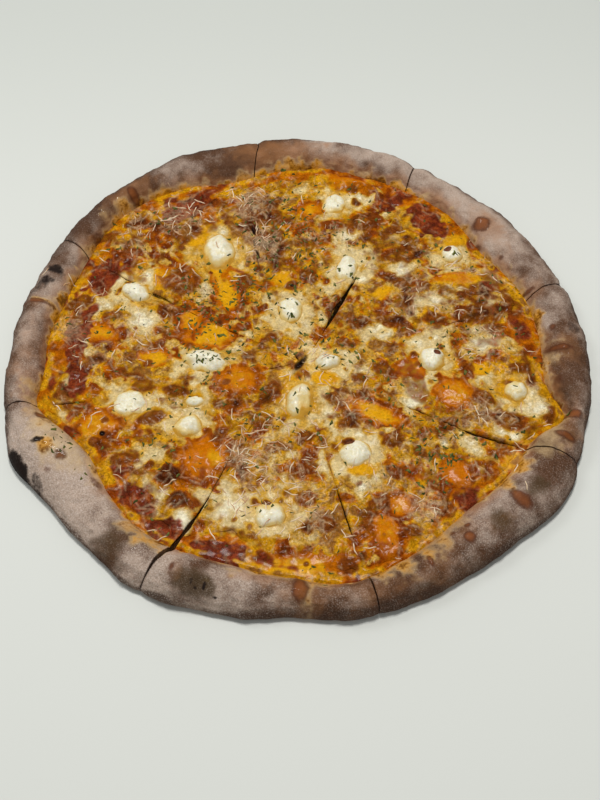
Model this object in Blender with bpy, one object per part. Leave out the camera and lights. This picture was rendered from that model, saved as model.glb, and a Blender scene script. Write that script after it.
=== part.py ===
"""Whole baked cheese and tomato pizza, cut in slices that keep its round shape.

It lies flat on Z = 0 with the near edge towards -Y. Each slice is a wedge of dough with a raised crust,
a layer of tomato sauce and a layer of melted cheese. Lumps of soft white cheese sit in the melted layer.
"""
import math
import random

import bmesh
import bpy
import numpy as np
from mathutils import Vector, noise
from mathutils.bvhtree import BVHTree

MM = 0.001

# Heights of the layers, from the table up
DOUGH_THICKNESS = 4.0 * MM
SAUCE_THICKNESS = 1.0 * MM
LAYER_GAP = 0.3 * MM
SAUCE_BOTTOM = DOUGH_THICKNESS + LAYER_GAP
SAUCE_TOP = SAUCE_BOTTOM + SAUCE_THICKNESS
CHEESE_BOTTOM = SAUCE_TOP + LAYER_GAP
CHEESE_TOP = CHEESE_BOTTOM + 1.5 * MM
CHEESE_EDGE = CHEESE_BOTTOM + 0.6 * MM
CREST_HEIGHT = 14.5 * MM

# Radii about the middle of the pizza, before the swells below
OUTLINE_RADIUS = 158.0 * MM
INNER_RADIUS = 134.0 * MM
CHEESE_INSET = 2.5 * MM
CREST_EDGE_DROP = 1.2 * MM

# Middle of the uneven outline's box, seen from the middle of its mean circle
OUTLINE_MIDDLE = Vector((0.79 * MM, 1.55 * MM, 0.0))

# Point where the cuts meet
HUB = Vector((2.0 * MM, -8.0 * MM, 0.0))
TIP_RADIUS = 2.2 * MM
SOLVER_STEPS = 12

# Swells and dips of a rim, as angle in degrees, size in mm and half width in degrees
OUTLINE_SWELLS = [
    (-163, 4.4, 13), (-154, 4.0, 6), (-119, 3.8, 8), (-91, -3.2, 7), (-32, 7.4, 11), (-8, 3.4, 12),
    (9, 1.8, 8), (53, -4.6, 13), (91, 1.0, 9), (116, 3.6, 11), (140, 1.6, 9),
]
INNER_SWELLS = [
    (135, 8.0, 17), (180, 4.0, 13), (194, 8.0, 6), (211, -7.0, 8), (222, -3.0, 8), (255, -2.5, 11),
    (282, 6.0, 10), (311, -4.0, 10), (343, 14.0, 5.5), (33, -7.0, 11), (82, 2.5, 6), (107, -5.0, 9),
]
CREST_SWELLS = [
    (-155, 2.6, 7), (-112, 2.4, 6), (-92, -1.4, 8), (-44, 1.6, 7), (-20, 1.2, 8), (55, -2.0, 14),
    (84, 1.0, 6), (112, -0.8, 7), (140, 1.6, 9), (172, 1.0, 8), (-135, -1.8, 8),
]
# Bays round the edge of the melted cheese, where only sauce covers the dough
SAUCE_BAYS = [
    (122, 15.0, 7), (152, 12.0, 6), (180, 11.0, 11), (222, 8.0, 5), (237, 5.0, 4), (253, 13.0, 9),
    (276, 6.0, 7), (313, 9.0, 5), (49, 16.0, 6), (62, 10.0, 4), (7, 13.0, 7), (95, 3.0, 10),
]

# Cuts in order round the pizza, as the angle about the hub and the gap in mm, each at its own stations
CUT_STATIONS = [12 * MM, 40 * MM, 100 * MM, 158 * MM]
GAP_STATIONS = [12 * MM, 40 * MM, 70 * MM, 100 * MM, 128 * MM, 158 * MM]
CUTS = {
    "east_north_east": ((20.0, 18.8, 17.2, 19.4), (1.0, 0.7, 0.7, 0.7, 0.7, 1.0)),
    "north_north_east": ((57.0, 61.8, 61.6, 64.0), (1.6, 2.4, 1.2, 0.7, 0.7, 0.9)),
    "north_north_west": ((124.0, 113.0, 106.8, 99.4), (0.8, 1.0, 1.8, 1.4, 0.8, 0.9)),
    "west_north_west": ((151.0, 151.3, 150.4, 148.8), (0.9, 0.8, 1.0, 1.6, 1.0, 0.9)),
    "west": ((192.0, 192.5, 193.1, 190.7), (0.8, 0.7, 0.7, 0.7, 0.8, 1.0)),
    "south_west": ((240.0, 236.5, 240.5, 239.0), (0.9, 0.8, 1.2, 2.8, 4.2, 1.8)),
    "south_south_east": ((282.0, 282.2, 283.6, 284.9), (0.9, 1.0, 1.4, 2.0, 1.4, 0.9)),
    "east_south_east": ((333.5, 333.5, 333.5, 336.7), (0.8, 0.8, 1.6, 2.2, 1.4, 0.9)),
}
# How deep each cut notches the outline, in mm, and how far from the cut the notch reaches
NOTCH_DEPTH = 1.6
NOTCH_REACH = 3.2

# Crust section, as shares of its width and of the rise from dough to crest
CRUST_SECTION = [
    (0.07, 0.36), (0.17, 0.68), (0.30, 0.90), (0.45, 1.0), (0.61, 0.98), (0.76, 0.84),
    (0.89, 0.56), (0.97, 0.22),
]
# Outer wall under the crest, as share of the width and share of the dough thickness
CRUST_UNDERSIDE = [(1.0, 1.05), (0.985, 0.45), (0.93, 0.0)]
CRUST_COLUMNS = 15

# Blisters on the crust, as x, y, radius and height in mm
CRUST_BLISTERS = [
    (-147, -66, 9, 2.0), (-55, -137, 8, 2.0), (99, -98, 8, 1.6), (-140, 52, 7, 1.4), (143, -52, 7, 1.4),
    (-2, -145, 7, 1.2), (106, 90, 6, 1.2), (-96, 113, 7, 1.2), (-128, -74, 7, -1.0), (70, -132, 8, 1.2),
    (148, 22, 7, 1.2), (-152, 8, 7, -0.9), (-30, 147, 8, 1.2), (36, 143, 7, -0.8), (-104, -100, 8, 1.2),
]

# Domes of melted cheese, as x, y, half length, half width, turn in degrees and height in mm
CHEESE_DOMES = [
    (-48, -68, 12, 12, 0, 2.6), (-107, -48, 11, 8, 20, 2.2), (-32, -20, 12, 11, 0, 2.0),
    (85, -27, 12, 11, 0, 2.0), (45, -112, 8, 12, 0, 1.6), (-78, 50, 13, 7, -20, 1.6),
    (-110, 12, 9, 9, 0, 1.2), (8, 100, 9, 9, 0, 1.2), (82, -75, 9, 8, 0, 1.0), (90, 50, 9, 8, 0, 1.2),
    (95, 79, 9, 7, 30, 1.0), (30, 125, 10, 6, -10, 1.2), (-66, -79, 7, 7, 0, 1.8), (112, -50, 10, 9, 0, 1.4),
    (40, 92, 9, 8, 0, 1.2), (50, -58, 8, 8, 0, 1.0), (-25, -98, 17, 12, 0, 1.2), (-72, -65, 8, 7, 0, 1.2),
    (60, -90, 9, 9, 0, 1.0), (-45, 100, 12, 8, 10, 1.0), (60, 30, 10, 9, 0, 1.0), (-100, 75, 9, 8, 0, 1.0),
    (0, 75, 10, 8, 0, 1.0), (-15, 5, 12, 10, 0, 1.0), (45, 12, 9, 7, 0, 1.0), (112, -4, 10, 8, 0, 1.0),
]
CHEESE_COLUMNS = 13
CHEESE_ROWS = 14
CHEESE_ROUNDING = 4.0 * MM

# Lumps of soft white cheese, as x, y, length, width, turn in degrees and height in mm
DOLLOP_SEAT = CHEESE_BOTTOM + 0.8 * MM
DOLLOP_SIDES = 12
DOLLOP_RINGS = [(0.90, 0.0), (1.0, 0.26), (0.86, 0.64), (0.50, 0.93)]
DOLLOPS = [
    (-46, 70, 26, 20, 95, 6.0), (-92, 41, 18, 14, -15, 5.0), (-4, 28, 20, 14, 85, 5.2),
    (28, 58, 22, 14, 70, 5.0), (22, 106, 18, 16, 60, 4.2), (90, 68, 14, 14, 0, 4.6),
    (74, -6, 18, 16, 90, 5.4), (-50, -7, 27, 16, -20, 5.6), (-90, -34, 20, 17, 10, 4.0),
    (-58, -48, 17, 15, 0, 4.8), (-55, -33, 12, 9, 10, 3.6), (1, -32, 25, 16, 75, 6.4),
    (30, -65, 20, 16, 25, 5.2), (-14, -101, 18, 17, 0, 6.0), (17, -8, 17, 12, 15, 4.8),
    (118, -26, 14, 14, 0, 4.4),
]

# Grated hard cheese and dried herb flakes, sizes in mm
SHRED_LENGTHS = (6.0, 12.0)
SHRED_WIDTH = 1.3 * MM
SHRED_HEIGHT = 0.9 * MM
SHREDS_PER_SLICE = 7
FLAKE_LENGTHS = (2.0, 2.8)
FLAKE_HEIGHT = 0.6 * MM
FLAKES_PER_SLICE = 4
SUNK = 0.45 * MM
SCATTER_SEED = 11

MATERIALS = {
    "dough": ((0.33, 0.24, 0.17), 0.85),
    "sauce": ((0.21, 0.035, 0.006), 0.30),
    "cheese": ((0.46, 0.23, 0.05), 0.35),
    "dollop": ((0.72, 0.64, 0.45), 0.50),
}


def clear_scene():
    for item in list(bpy.data.objects):
        bpy.data.objects.remove(item, do_unlink=True)


def make_material(name):
    colour, roughness = MATERIALS[name]
    material = bpy.data.materials.new(name)
    material.use_nodes = True
    shader = material.node_tree.nodes["Principled BSDF"]
    shader.inputs["Base Color"].default_value = (*colour, 1.0)
    shader.inputs["Roughness"].default_value = roughness
    shader.inputs["Metallic"].default_value = 0.0
    material.diffuse_color = (*colour, 1.0)
    return material


def bump(distance, half_width):
    return math.exp(-((distance / half_width) ** 2))


def swell(angle, swells):
    """Sum of the named swells at an angle in degrees, in metres."""
    total = 0.0
    for centre, size, half_width in swells:
        away = (angle - centre + 180.0) % 360.0 - 180.0
        total += size * MM * bump(away, half_width)
    return total


def place_angle(place):
    return math.degrees(math.atan2(place.y, place.x))


def outline_radius(angle):
    return OUTLINE_RADIUS + swell(angle, OUTLINE_SWELLS)


def inner_radius(angle):
    return INNER_RADIUS + swell(angle, INNER_SWELLS)


def cheese_radius(angle):
    return inner_radius(angle) - CHEESE_INSET - swell(angle, SAUCE_BAYS)


def crest_height(angle):
    return CREST_HEIGHT + swell(angle, CREST_SWELLS)


def cut_angle(cut, reach):
    """Angle of a cut about the hub, in radians, at a distance from the hub."""
    angles = CUTS[cut][0]
    return math.radians(float(np.interp(reach, CUT_STATIONS, angles)))


def cut_gap(cut, reach):
    """Width of the open cut, narrow at the tips so that they keep some width."""
    gap = float(np.interp(reach, GAP_STATIONS, CUTS[cut][1])) * MM
    return min(gap, LAYER_GAP + 0.12 * reach)


def hub_reach(direction, radius_rule):
    """Distance from the hub, along a direction, to a rim given as a radius about the middle."""
    reach = INNER_RADIUS
    for _ in range(SOLVER_STEPS):
        place = HUB + direction * reach
        reach += radius_rule(place_angle(place)) - place.length
    return reach


class Slice:
    """One wedge between two neighbouring cuts."""

    def __init__(self, number, first, second):
        self.number = number
        self.first = first
        self.second = second

    def direction(self, share, reach):
        """Unit vector from the hub, at a share of the way from the first cut to the second."""
        start = cut_angle(self.first, reach)
        end = cut_angle(self.second, reach)
        if end < start:
            end += 2 * math.pi
        start += math.asin(0.5 * cut_gap(self.first, reach) / reach)
        end -= math.asin(0.5 * cut_gap(self.second, reach) / reach)
        angle = start + share * (end - start)
        return Vector((math.cos(angle), math.sin(angle), 0.0))

    def at(self, share, reach):
        return HUB + self.direction(share, reach) * reach

    def rim(self, share, radius_rule):
        """Distance from the hub to a rim, at a share of the wedge."""
        reach = INNER_RADIUS
        for _ in range(4):
            reach = hub_reach(self.direction(share, reach), radius_rule)
        return reach

    def edge_distance(self, share, reach):
        """Distance to the nearer cut face."""
        here = self.at(share, reach)
        return min((here - self.at(0.0, reach)).length, (here - self.at(1.0, reach)).length)


def columns(count):
    """Shares across a wedge, closer together near its two cut faces."""
    even = [step / count for step in range(count + 1)]
    return [0.5 * share + 0.25 * (1 - math.cos(math.pi * share)) for share in even]


def add_object(name, mesh_builder, material):
    mesh = bpy.data.meshes.new(name)
    for vertex in mesh_builder.verts:
        vertex.co -= OUTLINE_MIDDLE
    bmesh.ops.recalc_face_normals(mesh_builder, faces=mesh_builder.faces[:])
    bmesh.ops.triangulate(mesh_builder, faces=mesh_builder.faces[:])
    mesh_builder.to_mesh(mesh)
    mesh_builder.free()
    mesh.materials.append(material)
    item = bpy.data.objects.new(name, mesh)
    bpy.context.collection.objects.link(item)
    return item


def raised(place, height):
    return Vector((place.x, place.y, height))


def side_reaches(wedge, side, rim_reach):
    """Distances from the hub of the stations along a cut face, from the tip out."""
    stations = [TIP_RADIUS] + [reach for reach in CUT_STATIONS if reach < rim_reach - 8 * MM]
    return stations + [rim_reach]


def crust_point(wedge, share, inner, outer, across, rise):
    """Point on the top of the crust, at shares of its width and of its rise."""
    reach = inner + across * (outer - inner)
    place = wedge.at(share, reach)
    angle = place_angle(place)
    height = DOUGH_THICKNESS + rise * (crest_height(angle) - DOUGH_THICKNESS)
    height -= CREST_EDGE_DROP * rise * bump(wedge.edge_distance(share, reach), 3.0 * MM)
    for x, y, radius, size in CRUST_BLISTERS:
        height += size * MM * rise * bump((place - Vector((x * MM, y * MM, 0))).length, radius * MM)
    height += 0.7 * MM * rise * noise.noise(place / (11 * MM))
    return raised(place, height)


def build_dough(wedge, material):
    """Wedge of dough: a flat slab from the tip to the crust, then the raised crust as a grid."""
    builder = bmesh.new()
    grid = []
    inner_ring = []
    for share in columns(CRUST_COLUMNS):
        inner = wedge.rim(share, inner_radius)
        outer = wedge.rim(share, outline_radius)
        near_cut = wedge.edge_distance(share, outer)
        outer -= NOTCH_DEPTH * MM * bump(near_cut, NOTCH_REACH * MM)
        column = [raised(wedge.at(share, inner), DOUGH_THICKNESS)]
        for across, rise in CRUST_SECTION:
            column.append(crust_point(wedge, share, inner, outer, across, rise))
        for across, lift in CRUST_UNDERSIDE:
            reach = inner + across * (outer - inner)
            column.append(raised(wedge.at(share, reach), lift * DOUGH_THICKNESS))
        grid.append([builder.verts.new(point) for point in column])
        inner_ring.append(inner)
    for left, right in zip(grid, grid[1:]):
        for row in range(len(left) - 1):
            builder.faces.new((left[row], left[row + 1], right[row + 1], right[row]))

    slab_sides = []
    for share, ring_reach, column in ((0.0, inner_ring[0], grid[0]), (1.0, inner_ring[-1], grid[-1])):
        reaches = side_reaches(wedge, share, ring_reach)
        low = [builder.verts.new(raised(wedge.at(share, reach), 0.0)) for reach in reaches]
        high = [
            builder.verts.new(raised(wedge.at(share, reach), DOUGH_THICKNESS)) for reach in reaches[:-1]
        ]
        high.append(column[0])
        for step in range(len(reaches) - 1):
            builder.faces.new((low[step], low[step + 1], high[step + 1], high[step]))
        for row in range(len(column) - 1):
            builder.faces.new((low[-1], column[row], column[row + 1]))
        slab_sides.append((low, high))
    (low_first, high_first), (low_second, high_second) = slab_sides
    tip = (low_first[0], low_second[0], high_second[0], high_first[0])
    builder.faces.new(tip)
    top_ring = [column[0] for column in grid[1:-1]]
    bottom_ring = [column[-1] for column in grid]
    builder.faces.new(high_first + top_ring + high_second[::-1])
    builder.faces.new(low_first + bottom_ring + low_second[::-1])
    return add_object(f"dough_{wedge.number}", builder, material)


def slab_outline(wedge, radius_rule, inset):
    """Side stations and rim points of a flat layer."""
    shares = columns(CRUST_COLUMNS)
    rims = [wedge.rim(share, radius_rule) - inset for share in shares]
    first = [wedge.at(0.0, reach) for reach in side_reaches(wedge, 0.0, rims[0])]
    second = [wedge.at(1.0, reach) for reach in side_reaches(wedge, 1.0, rims[-1])]
    ring = [wedge.at(share, reach) for share, reach in zip(shares[1:-1], rims[1:-1])]
    return first + ring + second[::-1]


def build_sauce(wedge, material):
    """Thin flat wedge of sauce that fills the slab out to the crust."""
    builder = bmesh.new()
    outline = slab_outline(wedge, inner_radius, LAYER_GAP)
    low = [builder.verts.new(raised(place, SAUCE_BOTTOM)) for place in outline]
    high = [builder.verts.new(raised(place, SAUCE_TOP)) for place in outline]
    builder.faces.new(low[::-1])
    builder.faces.new(high)
    for step in range(len(outline)):
        after = (step + 1) % len(outline)
        builder.faces.new((low[step], low[after], high[after], high[step]))
    return add_object(f"sauce_{wedge.number}", builder, material)


def dome_height(place):
    """Height that the named domes add at a place."""
    total = 0.0
    for x, y, half_length, half_width, turn, height in CHEESE_DOMES:
        away = place - Vector((x * MM, y * MM, 0.0))
        cosine = math.cos(math.radians(turn))
        sine = math.sin(math.radians(turn))
        along = (away.x * cosine + away.y * sine) / (half_length * MM)
        across = (away.y * cosine - away.x * sine) / (half_width * MM)
        total += height * MM * math.exp(-1.2 * (along * along + across * across))
    return total


def cheese_height(wedge, share, reach, rim_reach):
    place = wedge.at(share, reach)
    height = CHEESE_TOP + dome_height(place) + 0.6 * MM * noise.noise(place / (16 * MM))
    edge = min(wedge.edge_distance(share, reach), rim_reach - reach, reach - TIP_RADIUS)
    rounded = min(1.0, max(0.0, edge) / CHEESE_ROUNDING)
    return CHEESE_EDGE + (height - CHEESE_EDGE) * math.sqrt(1 - (1 - rounded) ** 2)


def build_cheese(wedge, material):
    """Layer of melted cheese: an uneven grid on top, a flat underside and thin edges."""
    builder = bmesh.new()
    shares = columns(CHEESE_COLUMNS)
    grid = []
    for share in shares:
        rim = wedge.rim(share, cheese_radius)
        column = []
        for row in range(CHEESE_ROWS + 1):
            part = (row / CHEESE_ROWS) ** 0.85
            reach = TIP_RADIUS + part * (rim - TIP_RADIUS)
            column.append((wedge.at(share, reach), cheese_height(wedge, share, reach, rim)))
        grid.append(column)
    high = [[builder.verts.new(raised(place, height)) for place, height in column] for column in grid]
    for left, right in zip(high, high[1:]):
        for row in range(CHEESE_ROWS):
            builder.faces.new((left[row], left[row + 1], right[row + 1], right[row]))
    border = high[0] + [column[-1] for column in high[1:-1]] + high[-1][::-1]
    border += [column[0] for column in high[-2:0:-1]]
    low = [builder.verts.new(raised(vertex.co, CHEESE_BOTTOM)) for vertex in border]
    for step in range(len(border)):
        after = (step + 1) % len(border)
        builder.faces.new((border[step], border[after], low[after], low[step]))
    builder.faces.new(low)
    return add_object(f"cheese_{wedge.number}", builder, material)


def build_dollop(name, sizes, material, swollen=0.0):
    """Uneven mound with a flat seat. A swollen copy is the pocket that the mound sits in."""
    x, y, length, width, turn, height = sizes
    builder = bmesh.new()
    heading = math.radians(turn)
    centre = Vector((x * MM, y * MM, 0.0))
    rings = []
    for share, rise in DOLLOP_RINGS:
        ring = []
        for side in range(DOLLOP_SIDES):
            angle = 2 * math.pi * side / DOLLOP_SIDES
            lump = 1.0 + 0.13 * noise.noise(Vector((math.cos(angle), math.sin(angle), 0.1 * x + rise)))
            along = math.cos(angle) * (0.5 * length * MM * share * lump + swollen)
            across = math.sin(angle) * (0.5 * width * MM * share * lump + swollen)
            ring.append(builder.verts.new((
                centre.x + along * math.cos(heading) - across * math.sin(heading),
                centre.y + along * math.sin(heading) + across * math.cos(heading),
                DOLLOP_SEAT - swollen + rise * (height * MM + 2 * swollen),
            )))
        rings.append(ring)
    top = builder.verts.new((centre.x, centre.y, DOLLOP_SEAT + height * MM + swollen))
    for lower, upper in zip(rings, rings[1:]):
        for side in range(DOLLOP_SIDES):
            after = (side + 1) % DOLLOP_SIDES
            builder.faces.new((lower[side], lower[after], upper[after], upper[side]))
    for side in range(DOLLOP_SIDES):
        builder.faces.new((rings[-1][side], rings[-1][(side + 1) % DOLLOP_SIDES], top))
    builder.faces.new(rings[0][::-1])
    return add_object(name, builder, material)


def apply_boolean(item, operation, cutters, gathered=False):
    """Boolean by one object or by a collection of them. The helpers are removed afterwards."""
    modifier = item.modifiers.new(operation.lower(), "BOOLEAN")
    modifier.operation = operation
    modifier.solver = "EXACT"
    collection = bpy.data.collections.new("helpers")
    bpy.context.scene.collection.children.link(collection)
    for cutter in cutters:
        bpy.context.collection.objects.unlink(cutter)
        collection.objects.link(cutter)
    modifier.operand_type = "COLLECTION"
    modifier.collection = collection
    with bpy.context.temp_override(object=item):
        bpy.ops.object.modifier_apply(modifier=modifier.name)
    for cutter in cutters:
        bpy.data.objects.remove(cutter, do_unlink=True)
    bpy.data.collections.remove(collection)


def touches(sizes, item):
    """True where a lump's box comes over the box of a layer."""
    x, y, length = sizes[:3]
    centre = Vector((x * MM, y * MM, 0.0)) - OUTLINE_MIDDLE
    reach = 0.5 * length * MM + 1.5 * MM
    lows = [min(vertex.co[axis] for vertex in item.data.vertices) for axis in (0, 1)]
    highs = [max(vertex.co[axis] for vertex in item.data.vertices) for axis in (0, 1)]
    return all(lows[axis] - reach < centre[axis] < highs[axis] + reach for axis in (0, 1))


def cut_pockets(item, material):
    cutters = []
    for sizes in DOLLOPS:
        if touches(sizes, item):
            cutters.append(build_dollop("pocket", sizes, material, swollen=LAYER_GAP))
    apply_boolean(item, "DIFFERENCE", cutters)


def clear_of_dollops(place, reach):
    for x, y, length, *_ in DOLLOPS:
        if (place - Vector((x * MM, y * MM, 0.0))).length < 0.55 * length * MM + reach:
            return False
    return True


def surface_height(tree, place):
    """Height of the cheese under a place, or None past its edge."""
    start = raised(place - OUTLINE_MIDDLE, 0.1)
    hit = tree.ray_cast(start, Vector((0, 0, -1)))[0]
    return None if hit is None else hit.z


def scatter_spot(wedge, draw, reach_over):
    """Random place on the cheese of a slice that keeps clear of its edges and of the lumps."""
    for _ in range(200):
        share = draw.uniform(0.08, 0.92)
        reach = 135 * MM * math.sqrt(draw.uniform(0.03, 1.0))
        place = wedge.at(share, reach)
        room = min(wedge.edge_distance(share, reach), wedge.rim(share, cheese_radius) - reach)
        if room > reach_over + 1.5 * MM and clear_of_dollops(place, reach_over + 0.5 * MM):
            return place
    return None


def build_shred(tree, place, heading, length, material):
    """Bent three-sided bar that follows the cheese and sinks a little into it."""
    builder = bmesh.new()
    sections = []
    bend = 0.25 * length
    for part in (-0.5, -0.17, 0.17, 0.5):
        along = Vector((math.cos(heading), math.sin(heading), 0.0))
        across = Vector((-along.y, along.x, 0.0))
        middle = place + along * part * length + across * bend * (0.25 - part * part)
        level = surface_height(tree, middle)
        if level is None:
            builder.free()
            return None
        taper = 0.6 if abs(part) > 0.4 else 1.0
        half = across * 0.5 * SHRED_WIDTH * taper
        sections.append([
            builder.verts.new(raised(middle - half, level - SUNK)),
            builder.verts.new(raised(middle + half, level - SUNK)),
            builder.verts.new(raised(middle, level + SHRED_HEIGHT * taper)),
        ])
    for before, after in zip(sections, sections[1:]):
        for corner in range(3):
            following = (corner + 1) % 3
            builder.faces.new((before[corner], before[following], after[following], after[corner]))
    builder.faces.new(sections[0])
    builder.faces.new(sections[-1][::-1])
    return add_object("shred", builder, material)


def build_flake(tree, place, heading, length, material):
    """Four-sided crumb of dried leaf."""
    level = surface_height(tree, place)
    if level is None:
        return None
    builder = bmesh.new()
    corners = []
    for step, share in enumerate((0.5, 0.32, 0.5, 0.32)):
        angle = heading + 0.5 * math.pi * step
        corner = place + Vector((math.cos(angle), math.sin(angle), 0.0)) * share * length
        corners.append(builder.verts.new(raised(corner, level - SUNK)))
    peak = builder.verts.new(raised(place, level + FLAKE_HEIGHT))
    for step in range(4):
        builder.faces.new((corners[step], corners[(step + 1) % 4], peak))
    builder.faces.new(corners[::-1])
    return add_object("flake", builder, material)


def scatter_toppings(item, wedge, material):
    """Grated cheese and herb flakes fused to the cheese of a slice, the largest first."""
    draw = random.Random(SCATTER_SEED + wedge.number)
    builder = bmesh.new()
    builder.from_mesh(item.data)
    tree = BVHTree.FromBMesh(builder)
    builder.free()
    lengths = sorted((draw.uniform(*SHRED_LENGTHS) * MM for _ in range(SHREDS_PER_SLICE)), reverse=True)
    pieces = []
    taken = []
    kinds = [(build_shred, length) for length in lengths]
    kinds += [(build_flake, draw.uniform(*FLAKE_LENGTHS) * MM) for _ in range(FLAKES_PER_SLICE)]
    for maker, length in kinds:
        place = scatter_spot(wedge, draw, 0.5 * length)
        if place is None:
            continue
        if any((place - other).length < 0.5 * (length + other_length) for other, other_length in taken):
            continue
        piece = maker(tree, place, draw.uniform(0, math.pi), length, material)
        if piece is not None:
            taken.append((place, length))
            pieces.append(piece)
    apply_boolean(item, "UNION", pieces)


def main():
    clear_scene()
    materials = {name: make_material(name) for name in MATERIALS}
    names = list(CUTS)
    for number, first in enumerate(names, start=1):
        wedge = Slice(number, first, names[number % len(names)])
        build_dough(wedge, materials["dough"])
        build_sauce(wedge, materials["sauce"])
        cheese = build_cheese(wedge, materials["cheese"])
        scatter_toppings(cheese, wedge, materials["cheese"])
        cut_pockets(cheese, materials["cheese"])
    for number, sizes in enumerate(DOLLOPS, start=1):
        build_dollop(f"dollop_{number:02d}", sizes, materials["dollop"])


main()
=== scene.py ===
import math
import random
import bpy
import numpy as np
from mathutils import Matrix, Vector


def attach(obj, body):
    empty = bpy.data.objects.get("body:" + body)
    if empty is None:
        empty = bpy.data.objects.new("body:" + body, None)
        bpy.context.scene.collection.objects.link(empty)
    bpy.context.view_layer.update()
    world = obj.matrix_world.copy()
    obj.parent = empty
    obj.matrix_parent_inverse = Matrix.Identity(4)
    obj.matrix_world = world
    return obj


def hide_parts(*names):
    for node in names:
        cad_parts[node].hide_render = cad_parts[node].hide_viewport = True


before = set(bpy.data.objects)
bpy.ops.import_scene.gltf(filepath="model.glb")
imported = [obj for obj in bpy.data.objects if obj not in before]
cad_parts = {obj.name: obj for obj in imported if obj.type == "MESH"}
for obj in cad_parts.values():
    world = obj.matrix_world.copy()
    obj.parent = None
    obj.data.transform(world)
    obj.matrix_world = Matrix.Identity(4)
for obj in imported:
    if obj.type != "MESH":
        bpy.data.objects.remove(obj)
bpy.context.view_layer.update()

# Places are in millimetres on the pizza, from the middle of its mean circle, and a mesh is in metres
mm = 0.001
middle = (0.79, 1.55)
draftCoarseness = 1

# One dictionary holds the form that the CAD solids have too
form = {
    "hub": (2.0, -8.0), "tipReach": 2.2,
    "outlineRadius": 158.0, "innerRadius": 134.0, "cheeseInset": 2.5, "crest": 14.5,
    "doughTop": 4.0, "sauceBottom": 4.3, "sauceTop": 5.3, "cheeseBottom": 5.6, "cheeseTop": 7.1,
    # angle in degrees, size, half width in degrees
    "outlineSwells": [
        (-163, 4.4, 13), (-154, 4.0, 6), (-119, 3.8, 8), (-91, -3.2, 7), (-32, 7.4, 11), (-8, 3.4, 12),
        (9, 1.8, 8), (53, -4.6, 13), (91, 1.0, 9), (116, 3.6, 11), (140, 1.6, 9)],
    "innerSwells": [
        (135, 8.0, 17), (180, 4.0, 13), (194, 8.0, 6), (211, -7.0, 8), (222, -3.0, 8), (255, -2.5, 11),
        (282, 6.0, 10), (311, -4.0, 10), (343, 14.0, 5.5), (33, -7.0, 11), (82, 2.5, 6), (107, -5.0, 9)],
    "crestSwells": [
        (-155, 2.6, 7), (-112, 2.4, 6), (-92, -1.4, 8), (-44, 1.6, 7), (-20, 1.2, 8), (55, -2.0, 14),
        (84, 1.0, 6), (112, -0.8, 7), (140, 1.6, 9), (172, 1.0, 8), (-135, -1.8, 8)],
    "sauceBays": [
        (122, 15.0, 7), (152, 12.0, 6), (180, 11.0, 11), (222, 8.0, 5), (237, 5.0, 4), (253, 13.0, 9),
        (276, 6.0, 7), (313, 9.0, 5), (49, 16.0, 6), (62, 10.0, 4), (7, 13.0, 7), (95, 3.0, 10)],
    # reach from the hub of the stations, then each cut's angles and gaps there
    "stations": [12, 40, 100, 158], "gapStations": [12, 26, 40, 70, 100, 128, 150],
    "cuts": [
        ((20.0, 18.8, 17.2, 19.4), (1.0, 0.8, 0.7, 0.7, 0.7, 0.7, 0.5)),
        ((57.0, 61.8, 61.6, 64.0), (0.6, 1.5, 5.0, 0.8, 0.7, 0.6, 0.5)),
        ((124.0, 113.0, 106.8, 99.4), (0.8, 0.8, 0.9, 1.0, 1.0, 0.7, 0.6)),
        ((151.0, 151.3, 150.4, 148.8), (0.9, 0.8, 0.8, 1.0, 1.6, 1.0, 0.6)),
        ((192.0, 192.5, 193.1, 190.7), (0.8, 0.7, 0.7, 0.7, 0.7, 0.8, 0.7)),
        ((240.0, 236.5, 240.5, 239.0), (0.8, 0.6, 0.5, 0.7, 2.4, 3.8, 0.5)),
        ((282.0, 282.2, 283.6, 284.9), (0.7, 0.6, 0.6, 0.9, 1.6, 1.3, 0.45)),
        ((333.5, 333.5, 333.5, 336.7), (0.8, 0.8, 0.8, 1.4, 1.9, 1.2, 0.6))],
}


# Maths on whole arrays of places

def noiseAt(x, y, size, seed):
    # smooth bumps from -1 to 1, about one for each size
    draw = np.random.default_rng(seed)
    cells = 89
    lattice = draw.uniform(-1, 1, (cells, cells))
    u = x / size + 4000.5
    v = y / size + 4000.5
    i = np.floor(u).astype(int)
    j = np.floor(v).astype(int)
    fu = u - i
    fv = v - j
    fu = fu * fu * (3 - 2 * fu)
    fv = fv * fv * (3 - 2 * fv)
    low = lattice[i % cells, j % cells] * (1 - fu) + lattice[(i + 1) % cells, j % cells] * fu
    high = lattice[i % cells, (j + 1) % cells] * (1 - fu) + lattice[(i + 1) % cells, (j + 1) % cells] * fu
    return low * (1 - fv) + high * fv


def layeredNoise(x, y, size, seed, layers=3):
    total = 0.0
    for layer in range(layers):
        total = total + noiseAt(x, y, size / 2.1 ** layer, seed + 17 * layer) / 1.8 ** layer
    return total


def smooth(value, low, high):
    t = np.clip((value - low) / (high - low), 0, 1)
    return t * t * (3 - 2 * t)


def swellAt(angle, swells):
    total = 0.0
    for centre, size, halfWidth in swells:
        away = (angle - centre + 180) % 360 - 180
        total = total + size * np.exp(-(away / halfWidth) ** 2)
    return total


def angleOf(x, y):
    return np.degrees(np.arctan2(y, x))


def outlineAt(angle):
    return form["outlineRadius"] + swellAt(angle, form["outlineSwells"])


def innerAt(angle):
    return form["innerRadius"] + swellAt(angle, form["innerSwells"])


def cheeseEdgeAt(angle):
    return innerAt(angle) - form["cheeseInset"] - swellAt(angle, form["sauceBays"])


# A wedge of the pizza between two cuts, with places given as a share across it and a reach from the hub

def cutAngle(number, reach):
    return np.interp(reach, form["stations"], form["cuts"][number % 8][0])


def cutGap(number, reach):
    gap = np.interp(reach, form["gapStations"], form["cuts"][number % 8][1])
    return np.minimum(gap, 0.3 + 0.12 * reach)


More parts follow.
